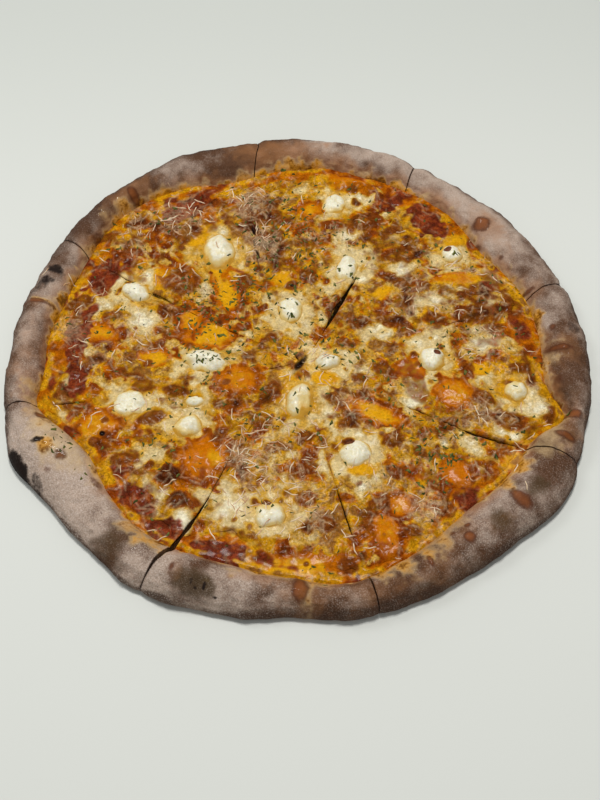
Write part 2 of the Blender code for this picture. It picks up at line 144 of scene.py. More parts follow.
def cutOpening(number, reach, closed, least):
    # closed narrows a cut by some millimetres, unevenly, where melted cheese bridges it
    uneven = 1 + 0.95 * noiseAt(reach, np.full_like(reach, 50.0 * (number % 8)), 6.5, 45)
    return np.maximum(cutGap(number, reach) - closed * uneven, least)


def wedgePlace(wedge, share, reach, closed=0.0, least=0.04):
    gaps = [cutOpening(number, reach, closed, least) for number in (wedge, wedge + 1)]
    start = np.radians(cutAngle(wedge, reach)) + np.arcsin(0.5 * gaps[0] / reach)
    turned = 360 if wedge == 7 else 0
    end = np.radians(cutAngle(wedge + 1, reach) + turned) - np.arcsin(0.5 * gaps[1] / reach)
    angle = start + share * (end - start)
    return form["hub"][0] + reach * np.cos(angle), form["hub"][1] + reach * np.sin(angle)


def wedgeRim(wedge, share, radiusAt):
    reach = np.full(np.shape(share), form["innerRadius"], float)
    for _ in range(14):
        x, y = wedgePlace(wedge, share, reach)
        reach = reach + radiusAt(angleOf(x, y)) - np.hypot(x, y)
    return reach


def cutDistance(wedge, share, reach):
    x, y = wedgePlace(wedge, share, reach)
    ax, ay = wedgePlace(wedge, np.zeros_like(share), reach)
    bx, by = wedgePlace(wedge, np.ones_like(share), reach)
    return np.minimum(np.hypot(x - ax, y - ay), np.hypot(x - bx, y - by))


def cutNearness(x, y):
    # distance from the nearest cut, in millimetres
    dx, dy = x - form["hub"][0], y - form["hub"][1]
    reach, angle = np.hypot(dx, dy), np.degrees(np.arctan2(dy, dx))
    nearest = np.full_like(reach, 99.0)
    for number in range(8):
        away = (angle - cutAngle(number, reach) + 180) % 360 - 180
        across = np.where(np.abs(away) < 60, reach * np.abs(np.sin(np.radians(away))), 99.0)
        nearest = np.minimum(nearest, across)
    return nearest


def clumps(x, y, size, seed):
    # uneven cells like melted clumps: room to the next cell, and three chances for each cell
    count = 97
    draw = np.random.default_rng(seed)
    jitter, chances = draw.uniform(0.1, 0.9, (2, count, count)), draw.uniform(0, 1, (3, count, count))
    u = x / size + 0.38 * layeredNoise(x, y, 1.2 * size, seed + 1) + 2000
    v = y / size + 0.38 * layeredNoise(x, y, 1.2 * size, seed + 2) + 2000
    first, second = np.full_like(u, 9.0), np.full_like(u, 9.0)
    tones = np.zeros((3,) + u.shape)
    for di in (-1, 0, 1):
        for dj in (-1, 0, 1):
            ci, cj = np.floor(u).astype(int) + di, np.floor(v).astype(int) + dj
            i, j = ci % count, cj % count
            away = np.hypot(ci + jitter[0, i, j] - u, cj + jitter[1, i, j] - v)
            nearer = away < first
            second = np.where(nearer, first, np.minimum(second, away))
            first = np.where(nearer, away, first)
            tones = np.where(nearer, chances[:, i, j], tones)
    return second - first, tones


# A canvas holds what lies where on the pizza, as layers of numbers painted with blobs and strands

class Canvas:
    def __init__(self, reach=172.0, step=0.4):
        self.reach, self.step = reach, step * draftCoarseness
        line = np.arange(-reach, reach + self.step, self.step)
        self.x, self.y = np.meshgrid(line, line, indexing="ij")
        self.ragged = 0.55 * noiseAt(self.x, self.y, 5.0, 3) + 0.45 * noiseAt(self.x, self.y, 2.1, 4)
        self.layers = {}

    def add(self, name, values=0.0):
        self.layers[name] = np.zeros_like(self.x) + values

    def window(self, x, y, size):
        first = [max(0, int((place - size + self.reach) / self.step)) for place in (x, y)]
        last = [int((place + size + self.reach) / self.step) + 2 for place in (x, y)]
        return slice(first[0], last[0]), slice(first[1], last[1])

    def spread(self, x, y, length, width, turn, ragged):
        # squared distance from the middle, as shares of the half length and half width
        part = self.window(x, y, 1.7 * max(length, width))
        dx, dy = self.x[part] - x, self.y[part] - y
        c, s = math.cos(math.radians(turn)), math.sin(math.radians(turn))
        away = ((dx * c + dy * s) / length) ** 2 + ((dy * c - dx * s) / width) ** 2
        return part, away * (1 + ragged * self.ragged[part]) + 0.25 * ragged * self.ragged[part]

    def blob(self, name, x, y, length, width, turn=0, amount=1.0, ragged=0.7, hard=2.0):
        part, away = self.spread(x, y, length, width, turn, ragged)
        cover = 1 / (1 + np.exp(np.clip(4 * hard * (away - 1) / (1 + hard * 0.5), -30, 30)))
        layer = self.layers[name]
        layer[part] += (amount - layer[part]) * cover

    def mound(self, name, x, y, length, width, turn=0, height=1.0, ragged=0.25, power=1.2):
        part, away = self.spread(x, y, length, width, turn, ragged)
        self.layers[name][part] += height * np.exp(-power * np.clip(away, 0, None))

    def soften(self, name, size):
        reach = max(1, int(round(2 * size / self.step)))
        weights = np.exp(-0.5 * (np.arange(-reach, reach + 1) * self.step / size) ** 2)
        weights /= weights.sum()
        layer = self.layers[name]
        for axis in (0, 1):
            total = np.zeros_like(layer)
            for offset, weight in zip(range(-reach, reach + 1), weights):
                total += weight * np.roll(layer, offset, axis)
            layer = total
        self.layers[name] = layer

    def at(self, name, x, y):
        layer = self.layers[name]
        u = np.clip((x + self.reach) / self.step, 0, layer.shape[0] - 2)
        v = np.clip((y + self.reach) / self.step, 0, layer.shape[1] - 2)
        i, j = np.floor(u).astype(int), np.floor(v).astype(int)
        fu, fv = u - i, v - j
        return ((layer[i, j] * (1 - fu) + layer[i + 1, j] * fu) * (1 - fv)
                + (layer[i, j + 1] * (1 - fu) + layer[i + 1, j + 1] * fu) * fv)


# What the topping's material reads from the canvas
toppingLayers = ("cream", "warm", "toast", "sauce", "char", "seamShade", "tone", "strand", "smoothness")

# Named spots on the topping: x, y, half length, half width, turn, strength or height
topping = {
    "domes": [
        (-48, -68, 12, 12, 0, 2.6), (-107, -48, 11, 8, 20, 2.2), (-32, -20, 12, 11, 0, 2.0),
        (85, -27, 12, 11, 0, 2.0), (45, -112, 8, 12, 0, 1.6), (-78, 50, 13, 7, -20, 1.6),
        (-110, 12, 9, 9, 0, 1.2), (8, 100, 9, 9, 0, 1.2), (82, -75, 9, 8, 0, 1.0), (90, 50, 9, 8, 0, 1.2),
        (95, 79, 9, 7, 30, 1.0), (30, 125, 10, 6, -10, 1.2), (-66, -79, 7, 7, 0, 1.8),
        (112, -50, 10, 9, 0, 1.4), (40, 92, 9, 8, 0, 1.2), (50, -58, 8, 8, 0, 1.0),
        (-25, -98, 17, 12, 0, 1.2), (-72, -65, 8, 7, 0, 1.2), (60, -90, 9, 9, 0, 1.0),
        (-45, 100, 12, 8, 10, 1.0), (60, 30, 10, 9, 0, 1.0), (-100, 75, 9, 8, 0, 1.0),
        (0, 75, 10, 8, 0, 1.0), (-15, 5, 12, 10, 0, 1.0), (45, 12, 9, 7, 0, 1.0),
        (112, -4, 10, 8, 0, 1.0)],
    # smooth oily patches, orange at 1 and yellow at 0.5
    "oilyPatches": [
        (-48, -68, 10.5, 10.5, 0, 0.95), (-43, -68, 4, 6, 10, 0.7), (-107, -47, 11, 7, 15, 0.75),
        (-32, -20, 10, 8, 0, 0.85), (-110, 12, 9, 6, 0, 0.75), (-78, 51, 4, 7, -10, 0.8),
        (8, 101, 8, 5, 10, 0.75), (85, -28, 10, 8, 10, 0.8), (45, -113, 6, 11, 5, 0.9),
        (82, -76, 7, 8, 0, 0.95), (111, -70, 6, 4, 20, 0.8), (92, 50, 15, 4, 5, 0.85),
        (94, 78, 6, 3.5, 10, 0.75), (30, 127, 13, 4, -5, 0.9), (-50, 12, 14, 8, 0, 0.5),
        (-40, 40, 6, 14, 15, 0.45), (-78, -5, 7, 5, 0, 0.6), (62, -12, 7, 5, 0, 0.7),
        (14, -18, 7, 4, 0, 0.6), (0, -128, 18, 5, 0, 0.6), (52, -95, 6, 6, 0, 0.8),
        (-10, 50, 6, 4, 30, 0.7), (120, -62, 6, 4, -20, 0.7), (48, 40, 5, 4, 0, 0.6),
        (42, -40, 13, 5, -25, 0.6), (32, -75, 7, 3, 0, 0.5), (-47, 60, 4, 8, 10, 0.45),
        (-58, 78, 5, 3, 30, 0.5), (100, -12, 5, 4, 0, 0.5), (-60, 22, 6, 8, 20, 0.75),
        (64, 108, 9, 4, -30, 0.7)],
    "creamPools": [
        (-75, -66, 7, 5, 10, 0.9), (-70, -88, 7, 3.4, -25, 0.8), (-58, -104, 4, 7, 20, 1.2),
        (-50, -89, 4, 4, 0, 1.0), (-30, -97, 13, 9, 15, 1.2), (-14, -100, 12, 11, 0, 1.05),
        (-38, -86, 7, 7, 0, 1.0), (-122, -50, 13, 5, -55, 0.9), (112, -54, 9, 4, -30, 0.9),
        (125, -38, 7, 5, 0, 0.9), (45, 12, 9, 5, 0, 0.8), (-88, 21, 8, 5, 0, 0.8),
        (37, 51, 7, 6, 30, 0.9), (-90, -34, 12, 9, 0, 0.9), (-70, -42, 8, 5, 0, 0.8),
        (-38, 22, 8, 6, 0, 0.8), (-62, -3, 8, 5, 0, 0.8), (30, 82, 9, 4, 20, 0.7), (90, 66, 9, 7, 0, 0.8),
        (60, 58, 8, 5, 0, 0.7), (22, 106, 12, 7, 0, 0.8), (100, -20, 9, 5, 30, 0.7),
        (20, -12, 10, 6, 15, 0.9), (10, -40, 7, 10, 10, 0.6), (22, -72, 9, 6, 10, 1.2),
        (34, -60, 9, 6, 10, 1.0), (-8, 20, 9, 6, 0, 0.7), (70, 8, 8, 4, 0, 0.7), (-110, 32, 8, 4, 0, 0.7),
        (64, -36, 8, 4, -20, 0.8), (92, -62, 8, 4, -20, 0.8), (-100, 50, 6, 4, 0, 0.7),
        (76, 34, 8, 3, 10, 0.7), (72, -20, 12, 6, 0, 0.7), (105, 5, 10, 4, 10, 0.7),
        (-98, 42, 9, 7, 0, 0.8), (36, 112, 8, 4, 0, 0.6)],
    "toastedSpots": [
        (-67, -79, 6, 5.5, 0, 1.4), (-61, -92, 5, 4.6, 20, 1.3), (-107, -58, 3.6, 3.2, 0, 0.8),
        (-124, 33, 9, 4.5, 25, 1.0), (-112, 81, 8, 3.4, 30, 0.8), (93, 38, 2.8, 2.4, 0, 1.0),
        (101, 36, 4, 3.6, 0, 0.6), (113, -47, 7, 4.5, -20, 0.9), (93, -12, 4.5, 4, 0, 0.8),
        (120, -12, 5, 3, 0, 0.9), (99, -30, 5.5, 4.5, 0, 0.8), (40, 92, 9, 6.5, 0, 0.85),
        (33, 117, 4, 3, 0, 0.9), (46, -12, 5, 4, 0, 0.8), (34, -18, 4, 3, 0, 0.8),
        (50, -58, 5, 4.5, 0, 0.85), (64, -64, 4, 3.4, 0, 0.8), (52, -77, 4.6, 3.6, 0, 0.9),
        (42, -95, 6, 3.4, 0, 0.9), (58, -110, 4.4, 4, 0, 0.9), (15, -106, 4.4, 3.6, 0, 0.8),
        (25, -129, 5, 4.4, 0, 0.9), (4, -55, 4, 3, 0, 0.9), (-65, -27, 7, 3, -10, 0.9),
        (-78, -43, 8, 3.6, 15, 0.9), (119, -62, 6, 3, -20, 0.95), (-3, 45, 3.4, 3, 0, 1.0),
        (97, 25, 10, 5.5, 15, 1.0), (25, 5, 4, 3, 0, 0.8), (60, 14, 5, 4, 0, 0.8),
        (-15, -28, 8, 5, 60, 0.9), (6, 52, 5, 4.5, 0, 0.9), (-30, 48, 4, 6, 0, 0.9),
        (12, 78, 5, 3, 0, 0.7), (-66, 48, 11, 9, 10, 0.7), (-66, 84, 10, 6, 0, 0.5),
        (-104, 24, 6, 3, 0, 0.7), (-66, 28, 6, 3, 20, 1.0), (-20, -46, 6, 5, 0, 0.6),
        (70, 44, 6, 3, 10, 0.8), (80, -47, 5, 4, 0, 0.9), (-12, -62, 6, 3, 0, 0.6),
        (4, -92, 5, 4, 0, 0.7), (75, -98, 6, 4, 0, 0.8), (-84, -24, 6, 4, 0, 0.7),
        (122, 30, 5, 7, 20, 0.7), (76, 22, 6, 4, 0, 0.9), (55, 66, 4, 4, 0, 0.6), (20, 90, 6, 3, 0, 0.5),
        (-92, -68, 6, 4, 0, 0.7), (-80, -55, 5, 4, 0, 0.6), (-118, -40, 3, 3, 0, 0.8),
        (36, -100, 5, 3, 0, 0.7)],
    # pits and slits along the cuts, sunk and darkened with painted shade
    "pitsWithPaintedShade": [
        (-103, -53, 1.9, 1.6, 0, 1.0), (-3, 45, 1.4, 1.2, 0, 0.8), (99, 24, 6, 1.9, 13, 0.6),
        (1.5, -8.5, 7.5, 2.3, 58, 0.8), (-19, -34, 5, 2.0, 60, 0.5), (-26, 86, 3.6, 1.1, 105, 0.9),
        (-23, 68, 4.5, 1.0, 108, 0.8), (-16, 37, 1.3, 0.9, 112, 0.8), (-15, -30, 4.5, 1.6, 60, 0.6),
        (-80, 38, 6, 1.4, -25, 0.7), (-68, 33, 3, 1.5, -10, 0.6)],
    # round the edge: angle, radius, half size along the rim, half size across it, strength
    "saucePools": [
        (177, 122, 15, 5.5, 0.95), (167, 121, 7, 5, 0.8), (155, 122, 13, 9, 1.0), (123, 122, 17, 8, 1.0),
        (63, 118, 6, 5, 1.0), (50, 120, 16, 8, 1.0), (24, 122, 13, 7, 0.6), (7, 129, 7, 6, 0.75),
        (-40, 131, 8, 5, 0.6), (-47, 129, 7, 7, 0.8), (-70, 124, 6, 9, 0.55), (-79, 125, 5, 5, 0.5),
        (-90, 124, 8, 4, 0.5), (-98, 127, 6, 4, 0.7), (-108, 128, 14, 6, 1.0), (-121, 128, 8, 8, 1.0),
        (-132, 124, 9, 5, 1.0), (-141, 119, 7, 5, 0.8), (-171, 121, 13, 6, 0.9), (-163, 108, 5, 5, 0.5),
        (108, 110, 8, 5, 0.6), (-57, 112, 6, 4, 0.5)],
    "oilyRim": [
        (141, 137, 5, 8, 0.8), (136, 142, 5, 5, 0.8), (110, 123, 9, 4, 0.6), (92, 128, 8, 6, 0.8),
        (84, 126, 6, 5, 0.6), (78, 124, 6, 5, 0.8), (71, 125, 6, 5, 0.9), (40, 121, 5, 5, 0.6),
        (31, 127, 5, 3, 0.8), (10, 133, 7, 4, 0.9), (3, 134, 4, 3, 0.7), (-12, 118, 6, 7, 0.6),
        (-34, 133, 5, 5, 0.7), (-54, 135, 7, 3, 0.6), (-62, 137, 6, 7, 0.6), (-68, 118, 5, 6, 0.8),
        (-84, 136, 8, 4, 0.6), (-93, 135, 7, 4, 0.7), (-104, 137, 6, 2, 0.6), (-127, 137, 7, 4, 0.7),
        (-145, 127, 4, 5, 0.6), (-153, 125, 5, 8, 0.7), (150, 131, 6, 2, 0.8), (172, 133, 9, 2, 0.7)],
    "clumpSizes": (8.6, 3.9),
    # cream covers tan to yellow to orange to rust, which follow warm, and toast covers both
    "tones": {
        "cream": {"level": 0.25, "zone": 0.26, "patch": 0.28, "clump": 0.44, "fine": 0.08, "seed": 41},
        "toast": {"level": 0.40, "zone": 0.22, "patch": 0.26, "clump": 0.40, "fine": 0.06, "seed": 31},
        "warm": {"level": 0.45, "zone": 0.32, "patch": 0.32, "clump": 0.36, "fine": 0.06, "seed": 51}},
    "strands": {"number": 4600, "gathered": 0.4, "reach": 136, "length": (2.5, 9), "width": (0.5, 1.1),
                "height": (0.2, 0.5), "seed": 5},
    "blisters": {"number": 300, "browned": 0.55, "reach": 130, "radius": (1.0, 3.0), "height": (0.3, 0.8),
                 "seed": 8},
}


# Lumps of soft white cheese: x, y, length, width, turn, height

dollop = {
    "seat": 6.4, "rings": 40, "sides": 84,
    "lumps": [
        (-46, 70, 26, 20, 95, 6.0), (-92, 41, 18, 14, -15, 5.0), (-4, 28, 20, 14, 85, 5.2),
        (28, 58, 22, 14, 70, 5.0), (22, 106, 18, 16, 60, 4.2), (90, 68, 14, 14, 0, 4.6),
        (74, -6, 18, 16, 90, 5.4), (-50, -7, 27, 16, -20, 5.6), (-90, -34, 20, 17, 10, 4.0),
        (-58, -48, 17, 15, 0, 4.8), (-55, -33, 12, 9, 10, 3.6), (1, -32, 25, 16, 75, 6.4),
        (30, -65, 20, 16, 25, 5.2), (-14, -101, 19, 18, 0, 5.0), (17, -8, 17, 12, 15, 4.8),
        (118, -26, 14, 14, 0, 4.4)],
    # how yellow each one is
    "yellow": [0.55, 0.2, 0.0, 0.15, 0.4, 0.2, 0.25, 0.0, 0.3, 0.1, 0.2, 0.85, 0.1, 0.5, 0.35, 0.8],
    # toasted marks on the lumps, x, y, half length, half width, turn, strength
    "marks": [
        (87.4, 69.6, 2.3, 2.1, 0, 1.0), (76.5, -3.2, 2.2, 1.9, 0, 1.0), (-48, -52, 2.2, 2.0, 0, 0.6),
        (26.5, -58.5, 3.8, 2.3, 10, 1.0), (-15, -95, 2.2, 1.7, 0, 0.9), (-88, 44, 3.0, 1.0, 20, 0.5),
        (-96, 38, 3.0, 1.0, -10, 0.5), (114, -21, 3.2, 2.0, 0, 0.7), (20, -62, 1.6, 3.0, 30, 0.8)],
    "subLumps": 3, "softness": 9.0,
}


def polarBlob(canvas, name, spot, **options):
    angle, radius, along, across, amount = spot
    x, y = radius * math.cos(math.radians(angle)), radius * math.sin(math.radians(angle))
    canvas.blob(name, x, y, across, along, angle, amount, **options)


def placeInDisc(draw, radius):
    reach = radius * math.sqrt(draw.random())
    heading = draw.uniform(0, 2 * math.pi)
    return reach * math.cos(heading), reach * math.sin(heading)


def makeCanvas():
    canvas = Canvas()
    x, y = canvas.x, canvas.y
    radius = np.hypot(x, y)
    angle = angleOf(x, y)
    gap = cutNearness(x, y)
    # broad zones first, then clumps of melted cheese that each take a tone by chance
    for name in ("relief", "lift", "char", "sauce", "smoothness"):
        canvas.add(name)
    for name, tone in topping["tones"].items():
        canvas.add(name, tone["level"] + tone["zone"] * layeredNoise(x, y, 24, tone["seed"]))
    for spot in topping["creamPools"]:
        canvas.blob("cream", *spot[:5], 0.5 + 0.55 * spot[5], hard=0.8)
        canvas.blob("smoothness", *spot[:5], 0.75 * spot[5], hard=1.0)
        canvas.blob("toast", *spot[:5], 0.15, hard=0.7)
    for (x0, y0, length, width, turn, _), yellow in zip(dollop["lumps"], dollop["yellow"]):
        canvas.blob("cream", x0, y0, 0.74 * length, 0.78 * width, turn, 0.85, ragged=1.0, hard=0.8)
        canvas.blob("toast", x0, y0, 0.70 * length, 0.74 * width, turn, 0.0, ragged=1.0, hard=0.8)
        canvas.blob("smoothness", x0, y0, 0.76 * length, 0.78 * width, turn, 0.85, ragged=1.0, hard=0.8)
        canvas.mound("lift", x0, y0, 0.85 * length, 0.85 * width, turn, height=0.4)
        creamy = 0.72 - 0.35 * yellow
        canvas.blob("cream", x0, y0, 0.58 * length, 0.62 * width, turn, creamy, ragged=0.8, hard=1.0)
        canvas.blob("warm", x0, y0, 0.66 * length, 0.70 * width, turn, 0.34, ragged=0.6, hard=1.5)
    wide, wideTones = clumps(x, y, topping["clumpSizes"][0], 11)
    small, smallTones = clumps(x, y, topping["clumpSizes"][1], 12)
    fine = layeredNoise(x, y, 2.6, 61, 2)
    pillow = np.clip(wide * 1.6, 0, 1) ** 0.6
    pebble = np.clip(small * 1.6, 0, 1) ** 0.6
    for kind, (name, tone) in enumerate(topping["tones"].items()):
        change = tone["patch"] * layeredNoise(x, y, 8, tone["seed"] + 5) + tone["fine"] * fine
        change += tone["clump"] * (wideTones[kind] + smallTones[kind] - 1)
        value = canvas.layers[name] + change * (1 - 0.75 * canvas.layers["smoothness"])
        if name == "toast":
            value += 0.1 * (pillow + pebble - 1)
        canvas.layers[name] = np.clip(value, 0, 1)
    canvas.add("tone", 0.5 + 0.45 * (smallTones[0] - 0.5) + 0.4 * (wideTones[1] - 0.5) + 0.2 * fine)
    # painted shade in the seams between clumps, darkest where the cells meet
    canvas.add("seamShade", np.clip(1 - 2.6 * small, 0, 1) * 0.6 + np.clip(1 - 2.6 * wide, 0, 1) * 0.6)
    canvas.layers["relief"] += 0.9 * pillow + 0.45 * pebble + 0.2 * fine
    for spot in topping["domes"]:
        canvas.mound("lift", *spot[:5], height=spot[5])
    for x0, y0, length, width, turn, orange in topping["oilyPatches"]:
        place = (x0, y0, length, width, turn)
        if min(length, width) > 4:
            canvas.blob("warm", x0, y0, 1.35 * length, 1.35 * width, turn, 1.0, ragged=0.9)
            canvas.blob("cream", x0, y0, 1.3 * length, 1.3 * width, turn, 0.05, ragged=0.9)
        canvas.blob("warm", *place, 0.1 + 0.54 * orange, ragged=0.7)
        for name in ("cream", "toast"):
            canvas.blob(name, *place, 0.0, ragged=0.5)
        canvas.blob("smoothness", *place, 1.0, ragged=0.4, hard=1.0)
        canvas.blob("seamShade", *place, 0.0)
    # half melted shreds lie over each other
    strands = topping["strands"]
    weights = [weight for _, _, _, weight in clusters["grated"]]
    draw = random.Random(strands["seed"])
    canvas.add("strand")
    for _ in range(strands["number"] // draftCoarseness):
        px, py = placeInDisc(draw, strands["reach"])
        gathered = draw.random() < strands["gathered"]
        if gathered:
            cx, cy, size, _ = draw.choices(clusters["grated"], weights)[0]
            px, py = draw.gauss(cx, 0.6 * size), draw.gauss(cy, 0.6 * size)
        length, width = draw.uniform(*strands["length"]), draw.uniform(*strands["width"])
        height = draw.uniform(*strands["height"])
        part, away = canvas.spread(px, py, 0.5 * length, 0.5 * width, draw.uniform(0, 180), 0.6)
        shape = np.sqrt(np.clip(1 - away, 0, 1))
        canvas.layers["relief"][part] += height * shape
        strength = draw.uniform(0.35, 0.85) if gathered else draw.uniform(0.15, 0.85)
        shown = strength * smooth(shape, 0.1, 0.6)
        canvas.layers["strand"][part] = np.maximum(canvas.layers["strand"][part], shown)
    canvas.layers["relief"] *= 1 - 0.9 * canvas.layers["smoothness"]
    canvas.layers["strand"] *= 1 - 0.95 * canvas.layers["smoothness"]
    # tomato sauce where the cheese is thin, and yellow to orange oil along the crust
    edge = cheeseEdgeAt(angle)
    inner = innerAt(angle)
    rim = smooth(radius + 2.5 * canvas.ragged, edge - 3, edge + 1)
    thin = 0.55 * smooth(layeredNoise(x, y, 19, 62), 0.55, 1.1)
    canvas.layers["sauce"] = np.maximum(thin, 0.7 * rim * smooth(layeredNoise(x, y, 9, 66), -0.5, 0.8))
    canvas.layers["warm"] += (0.66 + 0.28 * layeredNoise(x, y, 7, 67) - canvas.layers["warm"]) * 0.8 * rim
    for spot in topping["saucePools"]:
        polarBlob(canvas, "sauce", spot, ragged=0.9, hard=1.3)
    wander = layeredNoise(x, y, 14, 63)
    line = inner - 1.5 + 2.2 * wander
    halo = radius + 1.2 * canvas.ragged - line
    halo = np.exp(-(halo / (1.4 + 2.0 * np.clip(wander + 0.2, 0, None))) ** 2) * smooth(wander, -0.5, 0.3)
    for spot in topping["oilyRim"]:
        polarBlob(canvas, "sauce", (*spot[:4], 0.0))
        polarBlob(canvas, "warm", (*spot[:4], 0.72 * spot[4]))
        for name in ("cream", "toast"):
            polarBlob(canvas, name, (*spot[:4], 0.0))
    canvas.layers["sauce"] *= 1 - 0.95 * halo
    golden = 0.3 + 0.3 * layeredNoise(x, y, 6, 65)
    canvas.layers["warm"] = canvas.layers["warm"] * (1 - halo) + golden * halo
    for name in ("cream", "toast"):
        canvas.layers[name] *= (1 - 0.6 * rim) * (1 - 0.7 * halo)
    canvas.layers["relief"] *= (1 - 0.4 * rim) * (1 - 0.8 * np.clip(canvas.layers["sauce"], 0, 1))
    canvas.add("halo", halo)
    for x0, y0, length, width, turn, amount in topping["toastedSpots"]:
        canvas.blob("cream", x0, y0, 1.1 * length, 1.1 * width, turn, 0.0)
        canvas.blob("sauce", x0, y0, length, width, turn, 0.0)
        canvas.blob("toast", x0, y0, length, width, turn, 0.55 + 0.45 * amount, ragged=0.5)
        canvas.blob("toast", x0, y0, 0.6 * length, 0.6 * width, turn, 0.25 + 0.45 * amount, ragged=0.9)
        canvas.mound("lift", x0, y0, length, width, turn, height=0.9)
    # no painted seam shade and no strands near the hub, where the tips lie close together
    for name in ("seamShade", "strand"):
        canvas.blob(name, *form["hub"], 13, 13, 0, 0.0, hard=0.6)
    blisters = topping["blisters"]
    draw = random.Random(blisters["seed"])
    for _ in range(blisters["number"]):
        px, py = placeInDisc(draw, blisters["reach"])
        size, stretch, turn = draw.uniform(*blisters["radius"]), draw.uniform(0.6, 1.0), draw.uniform(0, 180)
        spot = (px, py, size, size * stretch, turn)
        canvas.mound("lift", *spot, height=draw.uniform(*blisters["height"]))
        if draw.random() < blisters["browned"]:
            canvas.blob("toast", *spot, draw.uniform(0.5, 0.95))
            canvas.blob("cream", *spot, 0.0)
    # painted shade in pits and slits, carried by the char layer
    for spot in topping["pitsWithPaintedShade"]:
        canvas.blob("char", *spot, ragged=0.6, hard=0.9)
        canvas.mound("lift", *spot[:5], height=-0.9)
    # the cheese sinks along the cuts, and painted shade browns the grooves there
    near = np.exp(-(gap / 1.1) ** 2) * smooth(layeredNoise(x, y, 12, 64), -0.4, 0.9)
    near *= smooth(np.hypot(x - form["hub"][0], y - form["hub"][1]), 8, 18)
    canvas.layers["toast"] = np.maximum(canvas.layers["toast"], 0.6 * near)
    canvas.layers["cream"] *= 1 - 0.6 * near
    for x0, y0, length, width, turn, amount in dollop["marks"]:
        canvas.blob("toast", x0, y0, 1.1 * length, 1.1 * width, turn, amount)
        canvas.blob("cream", x0, y0, 1.1 * length, 1.1 * width, turn, 0.0)
    for name in toppingLayers:
        canvas.soften(name, 0.25 if name in ("char", "strand") else 0.55)
        canvas.layers[name] = np.clip(canvas.layers[name], 0, 1)
    canvas.soften("relief", 0.3)
    return canvas


# Meshes from grids of places in millimetres

def fillMesh(mesh, places, sizes, corners):
    mesh.vertices.add(len(places))
    mesh.vertices.foreach_set("co", np.asarray(places, np.float32).ravel())
    mesh.loops.add(len(corners))
    mesh.loops.foreach_set("vertex_index", corners.astype(np.int32))
    mesh.polygons.add(len(sizes))
    mesh.polygons.foreach_set("loop_start", (np.cumsum(sizes) - sizes).astype(np.int32))
    mesh.update(calc_edges=True)


def newPiece(name, places, faces, masks, material):
    mesh = bpy.data.meshes.new(name)
    world = (np.asarray(places, float) - (middle[0], middle[1], 0.0)) * mm
    fillMesh(mesh, world, np.array([len(face) for face in faces]), np.concatenate(list(faces)))
    mesh.polygons.foreach_set("use_smooth", np.ones(len(faces), bool))
    for mask, values in masks.items():
        layer = mesh.attributes.new(mask, "FLOAT", "POINT")
        layer.data.foreach_set("value", np.asarray(values, np.float32).ravel())
    mesh.validate()
    mesh.set_sharp_from_angle(angle=math.radians(55))
    mesh.materials.append(material)
    piece = bpy.data.objects.new(name, mesh)
    bpy.context.scene.collection.objects.link(piece)
    return piece


def gridFaces(columns, rows, first=0):
    # quads of a grid whose places run along each column in turn
    column, row = np.meshgrid(np.arange(columns - 1), np.arange(rows - 1), indexing="ij")
    corner = first + column * rows + row
    return np.stack([corner, corner + 1, corner + rows + 1, corner + rows], -1).reshape(-1, 4)


def borderOf(columns, rows):
    # the grid's border, anticlockwise seen from the side its faces point to
    left = np.arange(rows)
    top = np.arange(1, columns) * rows + rows - 1
    right = (columns - 1) * rows + np.arange(rows - 2, -1, -1)
    bottom = np.arange(columns - 2, 0, -1) * rows
    return np.concatenate([left, top, right, bottom])


def layerPiece(name, places, columns, rows, floor, masks, material):
    # an uneven grid on top, walls down to a flat underside
    border = borderOf(columns, rows)
    low = places[border].copy()
    low[:, 2] = floor
    count = len(places)
    ring = np.arange(len(border))
    after = np.roll(ring, -1)
    walls = np.stack([border, count + ring, count + after, np.roll(border, -1)], -1)
    faces = [face[::-1] for face in [*gridFaces(columns, rows), *walls, count + ring[::-1]]]
    allPlaces = np.concatenate([places, low])
    # painted shade: the cut faces grow dark towards their foot, through the char mask
    allMasks = {mask: np.concatenate([values, values[border]]) for mask, values in masks.items()}
    allMasks["char"][count:] = 1.0
    return newPiece(name, allPlaces, faces, allMasks, material)


# Shader expressions

class Socket:
    tree = None

    def __init__(self, output):
        self.output = output

    @classmethod
    def node(cls, kind, settings=None, **inputs):
        # an input is given by its name, or by its number after an i
        made = cls.tree.nodes.new(kind)
        for setting, value in (settings or {}).items():
            setattr(made, setting, value)
        for key, value in inputs.items():
            target = made.inputs[int(key[1:]) if key[1:].isdigit() else key.replace("_", " ")]
            source = value.output if isinstance(value, Socket) else value
            if isinstance(source, bpy.types.NodeSocket):
                cls.tree.links.new(source, target)
            else:
                target.default_value = source
        return made

    def maths(self, operation, other, swap=False):
        first, second = (other, self) if swap else (self, other)
        return Socket(Socket.node("ShaderNodeMath", {"operation": operation}, i0=first, i1=second).outputs[0])

    def __add__(self, other):
        return self.maths("ADD", other)

    def __sub__(self, other):
        return self.maths("SUBTRACT", other)

    def __mul__(self, other):
        return self.maths("MULTIPLY", other)

    def __rsub__(self, other):
        return self.maths("SUBTRACT", other, swap=True)

    __radd__ = __add__
    __rmul__ = __mul__

    def clamped(self):
        return Socket(Socket.node("ShaderNodeClamp", Value=self).outputs[0])

    def between(self, low, high):
        settings = {"interpolation_type": "SMOOTHSTEP"}
        node = Socket.node("ShaderNodeMapRange", settings, Value=self, From_Min=low, From_Max=high)
        return Socket(node.outputs["Result"])


def mask(name):
    return Socket(Socket.node("ShaderNodeAttribute", {"attribute_name": name}).outputs["Fac"])


def objectPlace():
    return Socket(Socket.node("ShaderNodeTexCoord").outputs["Object"])


def awayness():
    # how far a place lies towards the far side, in metres
    return Socket(Socket.node("ShaderNodeSeparateXYZ", Vector=objectPlace()).outputs["Y"])


